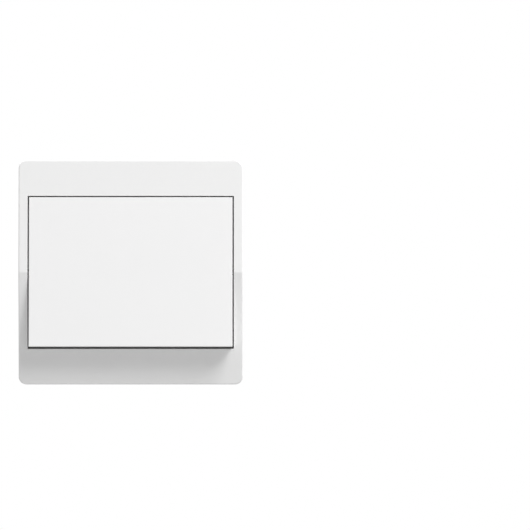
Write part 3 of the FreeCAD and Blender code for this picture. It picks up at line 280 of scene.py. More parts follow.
# Generator bracket
# A moulded cradle of dark grey glass-filled nylon, held to the tray by two screws. The core sits on
# its post and in its channel, and the armature's stubs turn in its two ears.
grained(
    "bracket_glass_nylon",
    colours=((0.055, 0.058, 0.062, 1), (0.115, 0.120, 0.125, 1)),
    marks={"per_mm": 4, "detail": 3, "stretch": (0.25, 1, 1)},
    marks_depth=0.015,
    clouds={"per_mm": 0.3, "detail": 2},
    marks_in_colour=0.6,
    roughness=0.48,
    marks_in_roughness=0.2,
).dress("generator_bracket")


# Generator core
# A U of stacked silicon-steel sheets, punched and pressed together, with a grey oxide skin and
# bright cut edges. Its yoke rests on the bracket and its legs end between the pole plates.
SHEET_PITCH = 0.35
SHEET_HALF = 0.133
SHEET_BLUR = 0.042
SHEET_RELIEF = 0.03
SCRATCH_SHARE = 0.25
SEAM_GREY = (0.10, 0.10, 0.11, 1)
SHEET_GREY = (0.42, 0.43, 0.46, 1)
OXIDE_SHARE = 0.45
CORE_ROUGHNESS = 0.34
CORE_SPREAD = 0.25

iron = Finish("core_laminations")
sheets = iron.y.repeated(SHEET_PITCH).within(0, SHEET_HALF, SHEET_BLUR)
oxide = 1 - OXIDE_SHARE * (1 - iron.noise(per_mm=0.8, detail=5))
scratches = iron.noise(per_mm=3, detail=3, stretch=(0.15, 1, 1))
iron.shade(
    Base_Color=iron.tint(sheets * oxide, SEAM_GREY, SHEET_GREY),
    Metallic=0.9,
    Roughness=CORE_ROUGHNESS + CORE_SPREAD * (scratches - 0.5),
    Normal=iron.relief(sheets + SCRATCH_SHARE * scratches, SHEET_RELIEF),
)
iron.dress("generator_core")


# Coil bobbin
# A spool of black glass-filled polyester that slides on the core's upper leg. Its two flanges hold
# the winding in and carry the terminal pins.
FLOW_PER_MM = 0.12
FLOW_STRETCH = (1, 1, 2.5)
FLOW_SHARE = 2.0
GRAIN_SHARE = 0.7


def moulded(name, colours, roughness, grain_per_mm, grain_depth, paint_over=None, **sockets):
    """Moulded plastic: clouds in its colour, flow waves, the mould's grain, and colour painted over it if
    that is given, such as painted shade.
    """
    finish = Finish(name)
    colour = finish.clouded(colours)
    grain = finish.noise(grain_per_mm, detail=2)
    flow = finish.noise(FLOW_PER_MM, detail=1, stretch=FLOW_STRETCH)
    return finish.shade(
        Base_Color=paint_over(finish, colour) if paint_over else colour,
        Roughness=finish.polished(roughness),
        Normal=finish.relief(GRAIN_SHARE * grain + FLOW_SHARE * flow, grain_depth),
        **sockets,
    )


moulded(
    "bobbin_polyester",
    colours=((0.018, 0.018, 0.020, 1), (0.040, 0.040, 0.043, 1)),
    roughness=0.42,
    grain_per_mm=6,
    grain_depth=0.010,
).dress("coil_bobbin")


# Coil winding
# Fine enamelled copper wire, wound in level layers between the flanges. One turn is shaped as a ring
# with a round crest and then repeated along the bobbin.
TURN_PITCH = 0.16 * MM
TURN_DEPTH = 0.05 * MM
TURN_PROFILE = ((0.5, 1.0), (0.25, 0.25))
CREST_CUTS = 3
CORNER_SHARE = 0.4
CORNER_SEGMENTS = 5
WINDING_WALL = 1.0 * MM
WINDING_SMOOTH_ANGLE = math.radians(60)
NEARLY_ALONG = 0.9


def add_cube(name, low, high):
    """Starts a piece from a block between two corners, and leaves it in edit mode."""
    bpy.ops.object.select_all(action="DESELECT")
    bpy.ops.mesh.primitive_cube_add(size=1, location=(low + high) / 2, scale=high - low)
    piece = bpy.context.object
    piece.name = name
    bpy.ops.object.transform_apply(location=True, rotation=True, scale=True)
    bpy.ops.object.mode_set(mode="EDIT")
    return piece


def choose(piece, kind, test):
    """Selects the faces, edges or vertices of the piece in edit mode that pass a test."""
    bpy.ops.mesh.select_all(action="DESELECT")
    bpy.context.tool_settings.mesh_select_mode = (kind == "verts", kind == "edges", kind == "faces")
    mesh = bmesh.from_edit_mesh(piece.data)
    for item in getattr(mesh, kind):
        item.select = test(item)
    mesh.select_flush_mode()
    bmesh.update_edit_mesh(piece.data)


def faces_along_x(face):
    return abs(face.normal.x) > NEARLY_ALONG


def runs_along_x(edge):
    run = edge.verts[1].co - edge.verts[0].co
    return abs(run.x) > NEARLY_ALONG * run.length


def apply_modifiers(piece):
    for modifier in list(piece.modifiers):
        bpy.ops.object.modifier_apply(modifier=modifier.name)


winding_low, winding_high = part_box("coil_winding")
winding_length = winding_high.x - winding_low.x
half_depth = (winding_high.y - winding_low.y) / 2
half_height = (winding_high.z - winding_low.z) / 2
turn_count = round(winding_length / TURN_PITCH)
turn_width = winding_length / turn_count
turn_low = Vector((winding_high.x - turn_width, winding_low.y, winding_low.z))
turn_middle = (turn_low + winding_high) / 2
hair = turn_width / 50

turns = add_cube("coil_turns", turn_low, winding_high)
choose(turns, "faces", faces_along_x)
bpy.ops.mesh.delete(type="ONLY_FACE")
choose(turns, "edges", runs_along_x)
bpy.ops.mesh.bevel(offset=CORNER_SHARE * half_depth, segments=CORNER_SEGMENTS)
choose(turns, "edges", runs_along_x)
bpy.ops.mesh.subdivide(number_cuts=CREST_CUTS)
for from_crest, drop in TURN_PROFILE:
    reach = from_crest * turn_width
    choose(turns, "verts", lambda vertex: abs(abs(vertex.co.x - turn_middle.x) - reach) < hair)
    squeeze = (1, 1 - drop * TURN_DEPTH / half_depth, 1 - drop * TURN_DEPTH / half_height)
    bpy.ops.transform.resize(value=squeeze, center_override=turn_middle)
bpy.ops.object.mode_set(mode="OBJECT")

row = turns.modifiers.new("row", "ARRAY")
row.count = turn_count
row.use_relative_offset = False
row.use_constant_offset = True
row.constant_offset_displace = (-turn_width, 0, 0)
row.use_merge_vertices = True
row.merge_threshold = hair
apply_modifiers(turns)
bpy.ops.object.mode_set(mode="EDIT")
bpy.ops.mesh.select_all(action="SELECT")
bpy.ops.mesh.normals_make_consistent(inside=False)
bpy.ops.object.mode_set(mode="OBJECT")
wall = turns.modifiers.new("wall", "SOLIDIFY")
wall.thickness = WINDING_WALL
wall.offset = -1
apply_modifiers(turns)
bpy.ops.object.shade_smooth_by_angle(angle=WINDING_SMOOTH_ANGLE)

grained(
    "winding_enamel",
    colours=((0.38, 0.115, 0.035, 1), (0.66, 0.27, 0.10, 1)),
    marks={"per_mm": 1.2, "detail": 4, "stretch": (5, 0.3, 0.3)},
    marks_depth=0.008,
    clouds={"per_mm": 0.25, "detail": 2},
    marks_in_colour=0.6,
    roughness=0.28,
    marks_in_roughness=0.12,
    Metallic=0.75,
    Coat_Weight=0.6,
    Coat_Roughness=0.12,
).dress(turns)
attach(turns, "housing")
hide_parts("coil_winding")


# Coil terminals
# Two tinned brass pins, pressed into the bobbin's flanges and bent down onto the circuit board. The
# marks of the drawing die run along them.
grained(
    "tinned_brass",
    colours=((0.60, 0.59, 0.56, 1), (0.82, 0.81, 0.78, 1)),
    marks={"per_mm": 6, "detail": 2, "stretch": (1, 1, 0.15)},
    marks_depth=0.006,
    clouds={"per_mm": 1.5, "detail": 4},
    roughness=0.26,
    clouds_in_roughness=0.2,
    Metallic=1.0,
).dress("coil_terminals")


# Magnet
# A sintered magnet block, held in the carrier's cage between the pole plates. Its bright nickel
# plating shows a faint orange peel.
grained(
    "nickel_plating",
    colours=((0.60, 0.58, 0.54, 1), (0.74, 0.72, 0.68, 1)),
    marks={"per_mm": 5, "detail": 3},
    marks_depth=0.006,
    clouds={"per_mm": 0.7, "detail": 3},
    roughness=0.24,
    clouds_in_roughness=0.16,
    Metallic=1.0,
).dress("magnet")


# Pole plates
# Two punched plates of soft steel, zinc plated, that the magnet holds to its faces. The rolling
# direction shows as fine lines along them.
grained(
    "pole_zinc",
    colours=((0.40, 0.42, 0.45, 1), (0.56, 0.57, 0.58, 1)),
    marks={"per_mm": 8, "detail": 3, "stretch": (1, 1, 0.06)},
    marks_depth=0.010,
    clouds={"per_mm": 0.6, "detail": 4},
    roughness=0.30,
    marks_in_roughness=0.25,
    clouds_in_roughness=0.1,
    Metallic=1.0,
).dress("front_pole_plate", "rear_pole_plate")


# Magnet carrier
# A cage of natural acetal, slightly milky, with the two stubs that it tips on and the arm whose
# rivets hold the spring.
moulded(
    "carrier_acetal",
    colours=((0.74, 0.72, 0.66, 1), (0.68, 0.66, 0.59, 1)),
    roughness=0.38,
    grain_per_mm=5,
    grain_depth=0.006,
    Subsurface_Weight=0.15,
    Subsurface_Radius=(0.8 * MM, 0.7 * MM, 0.5 * MM),
).dress("magnet_carrier")


# Drive spring
# A leaf of hardened spring steel, riveted to the carrier's arm. It is ground along its length and
# has the straw tint of its heat treatment.
grained(
    "spring_steel_straw",
    colours=((0.52, 0.50, 0.47, 1), (0.60, 0.53, 0.42, 1)),
    marks={"per_mm": 9, "detail": 3, "stretch": (1, 1, 0.05)},
    marks_depth=0.008,
    clouds={"per_mm": 0.25, "detail": 2},
    roughness=0.24,
    marks_in_roughness=0.25,
    Metallic=1.0,
).dress("drive_spring")


# Circuit board
# A thin glass-fibre board that two screws hold to the tray's bosses. It has green solder mask over its
# copper tracks, tinned pads and vias, thin printed outlines and bare yellowish edges.
TOP_MARGIN = 0.9
BOTTOM_MARGIN = 1.9
TRACK_INSET = 3.0
TRACK_WIDTH = 0.28
TRACK_PITCH = 0.6
TRACK_COUNT = 3
TRACK_HEIGHT = 0.03
PAD_MARGIN = 0.22
PAD_SHARE = 1.3
VIA_PITCH = 3.4
VIA_MARGIN = 0.3
VIA_INSET = 4.0
VIA_RADIUS = 0.24
HOLE_RADIUS = 0.11
HOLE_SHARE = 2.0
PRINT_GAP = 0.45
PRINT_WIDTH = 0.14
PRINTED_ROUND = ("rectifier", "storage_capacitor", "encoder_chip", "crystal", "transmitter_chip")
EDGE_WIDTH = 0.06
FACE_SKIN = 0.1
WEAVE_PER_MM = 9.0
WEAVE_SHARE = 0.12
MASK_GREENS = ((0.008, 0.105, 0.045, 1), (0.012, 0.135, 0.058, 1))
TRACK_GREEN = (0.030, 0.240, 0.095, 1)
BARE_LAMINATE = (0.42, 0.36, 0.17, 1)
PRINT_WHITE = (0.78, 0.78, 0.75, 1)
PAD_TIN = (0.72, 0.71, 0.68, 1)
HOLE_BLACK = (0.02, 0.02, 0.02, 1)
MASK_ROUGHNESS = 0.30
MASK_SPREAD = 0.08
EDGE_ROUGHER = 0.35
PRINT_ROUGHER = 0.25


def in_millimetres(node):
    low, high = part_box(node)
    return low / MM, high / MM


def ends_along_x(node):
    """The left and right end of each separate block of a node, from left to right."""
    return sorted({round(vertex.co.x / MM, 3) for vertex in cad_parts[node].data.vertices})


def around(finish, node, margin, blur=EDGE_BLUR):
    """One over a node's outline, seen from the front and grown by a margin, and nought outside."""
    low, high = in_millimetres(node)
    return rectangle(finish.x, finish.z, low.x - margin, high.x + margin,
                     low.z - margin, high.z + margin, blur)


board_low, board_high = in_millimetres("circuit_board")
board_middle = (board_low.z + board_high.z) / 2
top_track = board_high.z - TOP_MARGIN
bottom_track = board_low.z + BOTTOM_MARGIN
board = Finish("solder_mask_green")
face = board.y.below(board_low.y + FACE_SKIN)

tracks = 0
for index in range(TRACK_COUNT):
    step = index * TRACK_PITCH
    inset = TRACK_INSET + step
    for level in (top_track - step, bottom_track + step):
        tracks = tracks + rectangle(
            board.x, board.z, board_low.x + inset, board_high.x - inset,
            level - TRACK_WIDTH / 2, level + TRACK_WIDTH / 2)
pads = 0
for node, nearest_track in (("chip_resistors", top_track), ("chip_capacitors", bottom_track)):
    low, high = in_millimetres(node)
    for end in ends_along_x(node):
        for target in (nearest_track, board_middle):
            tracks = tracks + rectangle(
                board.x, board.z, end - TRACK_WIDTH / 2, end + TRACK_WIDTH / 2,
                min(low.z, target), max(high.z, target))
        pads = pads + rectangle(
            board.x, board.z, end - PAD_MARGIN, end + PAD_MARGIN,
            low.z - PAD_MARGIN / 2, high.z + PAD_MARGIN / 2)
tracks = tracks.clamped()

via_column = board.x.repeated(VIA_PITCH)
via_row = abs(board.z - board_middle) - (board_high.z - VIA_MARGIN - board_middle)
from_via = board.distance(via_column, via_row)
via_span = board.x.within(0, board_high.x - VIA_INSET)
holes = from_via.below(HOLE_RADIUS) * via_span
pads = (pads + from_via.below(VIA_RADIUS) * via_span).clamped()

printed = 0
for node in PRINTED_ROUND:
    printed = printed + around(board, node, PRINT_GAP + PRINT_WIDTH) - around(board, node, PRINT_GAP)
printed = printed.clamped()

weave = board.math("SINE", board.x * WEAVE_PER_MM) * board.math("SINE", board.z * WEAVE_PER_MM)
cut_edge = 1 - around(board, "circuit_board", -EDGE_WIDTH)
resist = board.noise(per_mm=0.3, detail=3)
colour = board.tint(resist, *MASK_GREENS)
colour = board.tint(tracks * face, colour, TRACK_GREEN)
colour = board.tint(cut_edge, colour, BARE_LAMINATE)
colour = board.tint(printed * face, colour, PRINT_WHITE)
colour = board.tint(pads * face, colour, PAD_TIN)
colour = board.tint(holes * face, colour, HOLE_BLACK)
roughness = MASK_ROUGHNESS + EDGE_ROUGHER * cut_edge + PRINT_ROUGHER * printed
height = tracks + PAD_SHARE * pads - HOLE_SHARE * holes + WEAVE_SHARE * weave
board.shade(
    Base_Color=colour,
    Metallic=(pads - holes) * face,
    Roughness=roughness + MASK_SPREAD * (resist - 0.5),
    Normal=board.relief(height, TRACK_HEIGHT),
)
board.dress("circuit_board")


# Solder joints
# Tin solder that has climbed each lead in a hollow curve and frozen. Each joint is drawn up from a
# flat ring in four steps, as wide and as high as its lead needs.
JOINT_SIDES = 16
JOINT_PROFILE = ((0.10, 0.82), (0.28, 0.56), (0.60, 0.38), (1.0, 0.26))
JOINT_SMOOTH_ANGLE = math.radians(50)
LEAD_PITCH = 1.27
LEAD_PLACES = (-1.5, -0.5, 0.5, 1.5)
LEAD_REACH = 0.1
LEAD_JOINT = Vector((0.32, 0.42, 0.30))
BLADE_PLACE = 1.2
BLADE_REACH = 0.15
BLADE_JOINT = Vector((0.62, 0.42, 0.34))
CAN_LEAD_PLACE = 0.95
CAN_LEAD_REACH = 0.2
CAN_LEAD_JOINT = Vector((0.55, 0.55, 0.7))
COIL_PIN_REACH = 0.25
COIL_PIN_JOINT = Vector((0.75, 0.75, 1.0))
AERIAL_REACH = 0.3
AERIAL_JOINT = Vector((0.7, 0.7, 0.9))


def add_joint(x, z, size):
    """One joint on the board, whose size is half its width, half its height and how far it rises."""
    bpy.ops.object.select_all(action="DESELECT")
    bpy.ops.mesh.primitive_circle_add(vertices=JOINT_SIDES, radius=1, fill_type="NGON")
    joint = bpy.context.object
    bpy.ops.object.mode_set(mode="EDIT")
    bpy.ops.mesh.select_all(action="SELECT")
    level = 0
    span = 1
    for next_level, next_span in JOINT_PROFILE:
        bpy.ops.mesh.extrude_region_move(TRANSFORM_OT_translate={"value": (0, 0, next_level - level)})
        bpy.ops.transform.resize(value=(next_span / span, next_span / span, 1),
                                 center_override=(0, 0, next_level))
        level = next_level
        span = next_span
    bpy.ops.mesh.select_all(action="SELECT")
    bpy.ops.transform.resize(value=size * MM, center_override=(0, 0, 0))
    bpy.ops.transform.rotate(value=math.radians(-90), orient_axis="X", center_override=(0, 0, 0))
    bpy.ops.transform.translate(value=Vector((x, board_low.y, z)) * MM)
    bpy.ops.mesh.normals_make_consistent(inside=False)
    bpy.ops.object.mode_set(mode="OBJECT")
    return joint


def add_joints(across, up, size):
    """A joint at every crossing of the places across and up."""
    return [add_joint(x, z, size) for x in across for z in up]


low, high = in_millimetres("encoder_chip")
middle = (low + high) / 2
joints = add_joints([middle.x + place * LEAD_PITCH for place in LEAD_PLACES],
                    (low.z + LEAD_REACH, high.z - LEAD_REACH), LEAD_JOINT)
low, high = in_millimetres("rectifier")
middle = (low + high) / 2
joints += add_joints((middle.x - BLADE_PLACE, middle.x + BLADE_PLACE),
                     (low.z + BLADE_REACH, high.z - BLADE_REACH), BLADE_JOINT)
low, high = in_millimetres("storage_capacitor")
middle = (low + high) / 2
joints += add_joints((low.x + CAN_LEAD_REACH,),
                     (middle.z - CAN_LEAD_PLACE, middle.z + CAN_LEAD_PLACE), CAN_LEAD_JOINT)
low, high = in_millimetres("coil_terminals")
joints += add_joints((low.x + COIL_PIN_REACH, high.x - COIL_PIN_REACH),
                     (high.z - COIL_PIN_REACH,), COIL_PIN_JOINT)
low, high = in_millimetres("antenna_wire")
middle = (low + high) / 2
joints += add_joints((low.x + AERIAL_REACH, high.x - AERIAL_REACH), (middle.z,), AERIAL_JOINT)

bpy.ops.object.select_all(action="DESELECT")
for joint in joints:
    joint.select_set(True)
bpy.context.view_layer.objects.active = joints[0]
bpy.ops.object.join()
solder = bpy.context.object
solder.name = "solder_joints"
bpy.ops.object.transform_apply(location=True, rotation=True, scale=True)
bpy.ops.object.shade_smooth_by_angle(angle=JOINT_SMOOTH_ANGLE)
grained(
    "solder_bright",
    colours=((0.66, 0.66, 0.65, 1), (0.84, 0.84, 0.83, 1)),
    marks={"per_mm": 4, "detail": 4},
    marks_depth=0.008,
    roughness=0.28,
    marks_in_roughness=0.2,
    Metallic=1.0,
).dress(solder)
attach(solder, "housing")


# Chips
# Black epoxy cases with a fine matt grain and tinned leads. The transmitter is a flat leadless chip
# whose small contacts show along its sides.
LEAD_SKIN = 0.02
SKIN_BLUR = 0.02
CONTACT_PITCH = 0.5
CONTACT_HALF = 0.135
CONTACT_SKIN = 0.03
CONTACT_HEIGHT = 0.28
CORNER_MARGIN = 0.3
DOT_INSET = 0.75
DOT_RADIUS = 0.28
DOT_BLUR = 0.06
DOT_SKIN = 0.2
DOT_DEPTH = 0.02
DOT_GREY = (0.075, 0.075, 0.078, 1)
EPOXY_BLACKS = ((0.012, 0.012, 0.013, 1), (0.034, 0.034, 0.036, 1))
EPOXY_GRAIN_SHARE = 0.4
EPOXY_ROUGHNESS = 0.52
EPOXY_SPREAD = 0.12
LEAD_TIN = (0.74, 0.73, 0.71, 1)
LEAD_GLOSS = 0.26


def contacts_low_down(chip, low, high):
    """One on the small contacts along the foot of all four sides of a square chip."""
    middle = (low + high) / 2
    inner = (high.x - low.x) / 2 - CONTACT_SKIN
    first = CONTACT_PITCH / 2
    side_row = (chip.z - (low.z + first)).repeated(CONTACT_PITCH).within(0, CONTACT_HALF, SKIN_BLUR)
    end_row = (chip.x - (low.x + first)).repeated(CONTACT_PITCH).within(0, CONTACT_HALF, SKIN_BLUR)
    on_side = 1 - chip.x.within(middle.x, inner, SKIN_BLUR)
    on_end = 1 - chip.z.within(middle.z, inner, SKIN_BLUR)
    off_corners = chip.x.within(middle.x, inner - CORNER_MARGIN).most(
        chip.z.within(middle.z, inner - CORNER_MARGIN))
    at_foot = chip.y.above(high.y - CONTACT_HEIGHT)
    return (on_side * side_row).most(on_end * end_row) * off_corners * at_foot


def dress_chip(name, node, case_half_height, leadless=False):
    """Epoxy inside the case's outline, and tin outside it or on a leadless chip's contacts."""
    low, high = in_millimetres(node)
    middle = (low + high) / 2
    chip = Finish(name)
    if leadless:
        metal = contacts_low_down(chip, low, high)
    else:
        metal = 1 - chip.z.within(middle.z, case_half_height + LEAD_SKIN, SKIN_BLUR)
    from_dot = chip.distance(chip.x - (low.x + DOT_INSET),
                             chip.z - (middle.z + case_half_height - DOT_INSET))
    dot = from_dot.below(DOT_RADIUS, DOT_BLUR) * chip.y.below(low.y + DOT_SKIN)
    grain = chip.noise(per_mm=7, detail=3)
    epoxy = chip.tint(dot, chip.tint(grain, *EPOXY_BLACKS), DOT_GREY)
    chip.shade(
        Base_Color=chip.tint(metal, epoxy, LEAD_TIN),
        Metallic=metal,
        Roughness=EPOXY_ROUGHNESS - LEAD_GLOSS * metal + EPOXY_SPREAD * (grain - 0.5),
        Normal=chip.relief(EPOXY_GRAIN_SHARE * grain - dot, DOT_DEPTH),
    )
    chip.dress(node)


dress_chip("encoder_epoxy", "encoder_chip", case_half_height=1.95)
dress_chip("rectifier_epoxy", "rectifier", case_half_height=1.9)
dress_chip("transmitter_epoxy", "transmitter_chip", case_half_height=2.0, leadless=True)


# Storage capacitor
# A small aluminium can that lies on the board in a dark blue shrink sleeve. A pale stripe marks its
# negative side, and its leads come out at the rubber-sealed left end.
SLEEVE_LAP = 0.45
SLEEVE_BLUES = ((0.012, 0.020, 0.060, 1), (0.020, 0.034, 0.095, 1))
SLEEVE_ROUGHNESS = 0.34
SLEEVE_SPREAD = 0.1
WRINKLE_DEPTH = 0.02
STRIPE_TURN = 2.3
STRIPE_HALF = 0.32
STRIPE_BLUR = 0.05
STRIPE_GREY = (0.50, 0.52, 0.55, 1)
SEAL_BLACK = (0.03, 0.03, 0.03, 1)
SEAL_ROUGHER = 0.2
BARE_ALUMINIUM = (0.70, 0.70, 0.70, 1)
CAN_LEAD_LENGTH = 1.0
END_SKIN = 0.05

can_low, can_high = in_millimetres("storage_capacitor")
can_left = can_low.x + CAN_LEAD_LENGTH
can_radius = (can_high.z - can_low.z) / 2
sleeve = Finish("capacitor_shrink_sleeve")
side = sleeve.z - (can_low.z + can_high.z) / 2
out = sleeve.y - (can_high.y - can_radius)
inside_lap = sleeve.distance(side, out).below(can_radius - SLEEVE_LAP)
can_end = sleeve.x.above(can_high.x - END_SKIN) * inside_lap
seal = sleeve.x.below(can_left + END_SKIN) * inside_lap
bare = can_end.most(sleeve.x.below(can_left - LEAD_SKIN, SKIN_BLUR))
stripe = sleeve.math("ARCTAN2", side, out).within(STRIPE_TURN, STRIPE_HALF, STRIPE_BLUR)
wrinkle = sleeve.noise(per_mm=1.2, detail=3, stretch=(0.3, 1, 1))
colour = sleeve.tint(wrinkle, *SLEEVE_BLUES)
colour = sleeve.tint(stripe, colour, STRIPE_GREY)
colour = sleeve.tint(seal, colour, SEAL_BLACK)
sleeve.shade(
    Base_Color=sleeve.tint(bare, colour, BARE_ALUMINIUM),
    Metallic=bare,
    Roughness=SLEEVE_ROUGHNESS + SEAL_ROUGHER * seal + SLEEVE_SPREAD * (wrinkle - 0.5),
    Normal=sleeve.relief(wrinkle, WRINKLE_DEPTH),
)
sleeve.dress("storage_capacitor")


# Crystal
# A quartz crystal in a ceramic tub, closed by a seam-welded metal lid with a dull rim. It is
# soldered to the board by pads under the tub.
LID_HEIGHT = 0.45
LID_RIM = 0.28
LID_BLUR = 0.1
LID_RELIEF = 0.04
LID_GRAIN_SHARE = 0.15
TUB_BROWN = (0.32, 0.29, 0.25, 1)
LID_GREY = (0.70, 0.69, 0.66, 1)
TUB_ROUGHNESS = 0.55
LID_GLOSS = 0.18
LID_MIDDLE_GLOSS = 0.12
LID_SPREAD = 0.08

crystal = Finish("crystal_lid")
lid = crystal.y.below(in_millimetres("crystal")[1].y - LID_HEIGHT)
lid_middle = around(crystal, "crystal", -LID_RIM, LID_BLUR)
satin = crystal.noise(per_mm=5, detail=3)
gloss = lid * (LID_GLOSS + LID_MIDDLE_GLOSS * lid_middle)
crystal.shade(
    Base_Color=crystal.tint(lid, TUB_BROWN, LID_GREY),
    Metallic=lid,
    Roughness=TUB_ROUGHNESS - gloss + LID_SPREAD * (satin - 0.5),
    Normal=crystal.relief(lid_middle + LID_GRAIN_SHARE * satin, LID_RELIEF),
)
crystal.dress("crystal")


# Small chip parts
# Resistors with a black glazed top on white ceramic, and tan ceramic capacitors. Both kinds have
# tinned caps at their two ends, which are soldered to the board.
CAP_LENGTH = 0.22
CAP_RELIEF = 0.03
CAP_GLOSS = 0.15
SPECK_SHARE = 0.3
GLAZE_SKIN = 0.06
CERAMIC_WHITE = (0.72, 0.71, 0.68, 1)
BODY_ROUGHNESS = 0.42
BODY_SPREAD = 0.12


def dress_chip_parts(name, node, colours, glazed=False):
    """Bodies in the two colours between tinned caps. A glazed body has them only on its top."""
    finish = Finish(name)
    ends = ends_along_x(node)
    bodies = 0
    for left, right in zip(ends[::2], ends[1::2]):
        bodies = bodies + finish.x.within((left + right) / 2, (right - left) / 2 - CAP_LENGTH)
    caps = 1 - bodies.clamped()
    speck = finish.noise(per_mm=6, detail=3)
    body = finish.tint(speck, *colours)
    if glazed:
        top = finish.y.below(in_millimetres(node)[0].y + GLAZE_SKIN)
        body = finish.tint(top, CERAMIC_WHITE, body)
    finish.shade(
        Base_Color=finish.tint(caps, body, LEAD_TIN),
        Metallic=caps,
        Roughness=BODY_ROUGHNESS - CAP_GLOSS * caps + BODY_SPREAD * (speck - 0.5),
        Normal=finish.relief(caps + SPECK_SHARE * speck, CAP_RELIEF),
    )
    finish.dress(node)


dress_chip_parts(
    "resistor_glaze", "chip_resistors",
    colours=((0.015, 0.015, 0.016, 1), (0.030, 0.030, 0.032, 1)), glazed=True)
dress_chip_parts(
    "capacitor_ceramic", "chip_capacitors",
    colours=((0.36, 0.22, 0.11, 1), (0.44, 0.28, 0.15, 1)))


# Aerial
# A bent loop of thick enamelled copper wire, soldered to the board at both feet. Fine streaks from
# the drawing die run along it.
grained(
    "aerial_enamel",
    colours=((0.44, 0.14, 0.045, 1), (0.60, 0.24, 0.09, 1)),
    marks={"per_mm": 3, "detail": 3, "stretch": (0.3, 1, 1)},
    marks_depth=0.008,
    roughness=0.24,
    marks_in_roughness=0.14,
    Metallic=0.8,
    Coat_Weight=0.7,
    Coat_Roughness=0.1,
).dress("antenna_wire")


# Small screws
# Zinc-plated pan heads with a cross recess, which cut their own thread in the tray's plastic. Two
# hold the board and two the generator's bracket.
grained(
    "screw_zinc",
    colours=((0.52, 0.53, 0.56, 1), (0.66, 0.64, 0.58, 1)),
    marks={"per_mm": 6, "detail": 2},
    marks_depth=0.006,
    clouds={"per_mm": 0.9, "detail": 3},
    roughness=0.26,
    marks_in_roughness=0.16,
    Metallic=1.0,
).dress("board_screws", "bracket_screws")


# Front frame
# The square faceplate, moulded in glossy-satin white ABS. It snaps over the tray, and its two halves
# fall away from a faint ridge across the middle.
moulded(
    "plate_satin_white",
    colours=((0.870, 0.870, 0.868, 1), (0.852, 0.852, 0.850, 1)),
    roughness=0.40,
    grain_per_mm=3.5,
    grain_depth=0.0025,
).dress("front_frame")


# Rocker
# The single white key, moulded in the same ABS with a smoother face. It is snapped into the frame's
# bearings by its trunnions and tips between its two rests. Its trunnions are painted near black as painted
# shade, so they look as dark as the gap around the key.
TRUNNION_REACH = 1.9
SHADE_MARGIN = 0.03
SHADE_BLUR = 0.02
# Painted shade: the near-black colour that is painted on the trunnions.
PAINTED_SHADE = (0.030, 0.028, 0.026, 1)


def painted_trunnion_shade(finish, colour):
    """Paints shade near black on the trunnions, which stand out past the rocker's two sides, so they look
    as dark as the shaded gap.
    """
    rocker_side = in_millimetres("rocker")[1].x - TRUNNION_REACH
    shaded_trunnions = abs(finish.x).above(rocker_side + SHADE_MARGIN, SHADE_BLUR)
    return finish.tint(shaded_trunnions, colour, PAINTED_SHADE)


moulded(
    "rocker_satin_white",
    colours=((0.900, 0.899, 0.899, 1), (0.888, 0.887, 0.887, 1)),
    roughness=0.36,
    grain_per_mm=3.5,
    grain_depth=0.002,
    # The trunnions get painted shade, near black, as dark as the gap around the key.
    paint_over=painted_trunnion_shade,
).dress("rocker")


# Studio lamps and room
# A soft key lamp at the upper right in front, a weaker one at the upper left behind, and a room that
# is white in front and behind and pale grey to both sides, where the switch's white sides stand out.
KEY_DIRECTION = Vector((0.490, -0.345, 0.800)).normalized()
KEY_DISTANCE = 2000 * MM
KEY_SIDE = 1050 * MM
KEY_LEVEL = 1.18
BACK_DIRECTION = Vector((-0.55, 0.70, 0.45)).normalized()
BACK_DISTANCE = 1200 * MM
BACK_SIDE = 600 * MM
BACK_LEVEL = 0.45
ROOM_LEVEL = 0.480
SIDE_GREY = 0.30
WHITE = (1, 1, 1, 1)


def hang_lamp(name, direction, distance, side, level):
    """A square lamp that faces the switch. Its level is what it adds to a white face turned to it."""
    bpy.ops.object.select_all(action="DESELECT")
    bpy.ops.object.light_add(type="AREA", location=direction * distance)
    lamp = bpy.context.object
    lamp.name = name
    lamp.rotation_euler = direction.to_track_quat("Z", "Y").to_euler()
    lamp.data.shape = "SQUARE"
    lamp.data.size = side
    lamp.data.energy = level * (math.pi * distance) ** 2


def looked_at(finish):
    """One for rays that a viewer sees straight, in a gloss or through glass, and nought for the light."""
    rays = [finish.add("ShaderNodeLightPath", out=ray)
            for ray in ("Is Camera Ray", "Is Glossy Ray", "Is Transmission Ray")]
    return rays[0].most(rays[1]).most(rays[2])


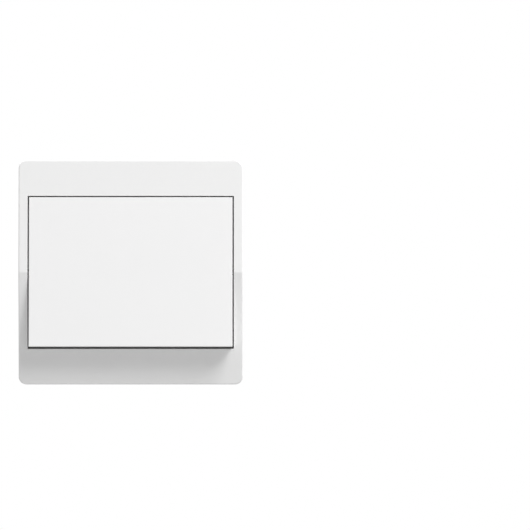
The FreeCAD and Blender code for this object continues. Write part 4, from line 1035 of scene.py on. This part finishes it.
def room_strength(finish, sideways):
    """How bright the room looks, and its weaker light on things. Sideways is one at the sides."""
    squared = sideways * sideways
    seen = 1 - SIDE_GREY * squared * squared
    return looked_at(finish) * (seen - ROOM_LEVEL) + ROOM_LEVEL


hang_lamp("key_lamp", KEY_DIRECTION, KEY_DISTANCE, KEY_SIDE, KEY_LEVEL)
hang_lamp("back_lamp", BACK_DIRECTION, BACK_DISTANCE, BACK_SIDE, BACK_LEVEL)

# The world's place is the direction that is looked in, so its x says how far that points sideways.
room = Finish("white_room", "worlds")
room_light = room.add("ShaderNodeBackground", None, {
    "Color": WHITE, "Strength": room_strength(room, room.x * MM)})
room.add("ShaderNodeOutputWorld", None, {"Surface": room_light})
bpy.context.scene.world = room.owner


# Studio floor
# A wide sheet of pale grey paper, well below the switch. It keeps the switch's shadow, fades into
# the room further out, and is clear from underneath.
FLOOR_LEVEL = -120 * MM
FLOOR_SIDE = 6000 * MM
FLOOR_GREYS = ((0.44, 0.44, 0.44, 1), (0.43, 0.43, 0.43, 1))
FADE_START = 250
FADE_END = 600

bpy.ops.object.select_all(action="DESELECT")
bpy.ops.mesh.primitive_plane_add(size=FLOOR_SIDE, location=(0, 0, FLOOR_LEVEL))
floor = bpy.context.object
floor.name = "studio_floor"
bpy.ops.object.transform_apply(location=True, rotation=True, scale=True)

paper = Finish("floor_paper")
from_switch = paper.distance(paper.x, paper.y)
far = ((from_switch - FADE_START) / (FADE_END - FADE_START)).clamped()
pulp = paper.tint(paper.noise(per_mm=0.02, detail=3), *FLOOR_GREYS)
near_floor = paper.add("ShaderNodeBsdfDiffuse", None, {"Color": pulp})
far_floor = paper.add("ShaderNodeEmission", None, {
    "Strength": room_strength(paper, paper.x / from_switch)})
sheet = paper.add("ShaderNodeMixShader", None, {0: far, 1: near_floor, 2: far_floor})
underside = paper.add("ShaderNodeNewGeometry", out="Backfacing")
clear = paper.add("ShaderNodeBsdfTransparent")
one_sided = paper.add("ShaderNodeMixShader", None, {0: underside, 1: sheet, 2: clear})
paper.add("ShaderNodeOutputMaterial", None, {"Surface": one_sided})
paper.dress(floor)
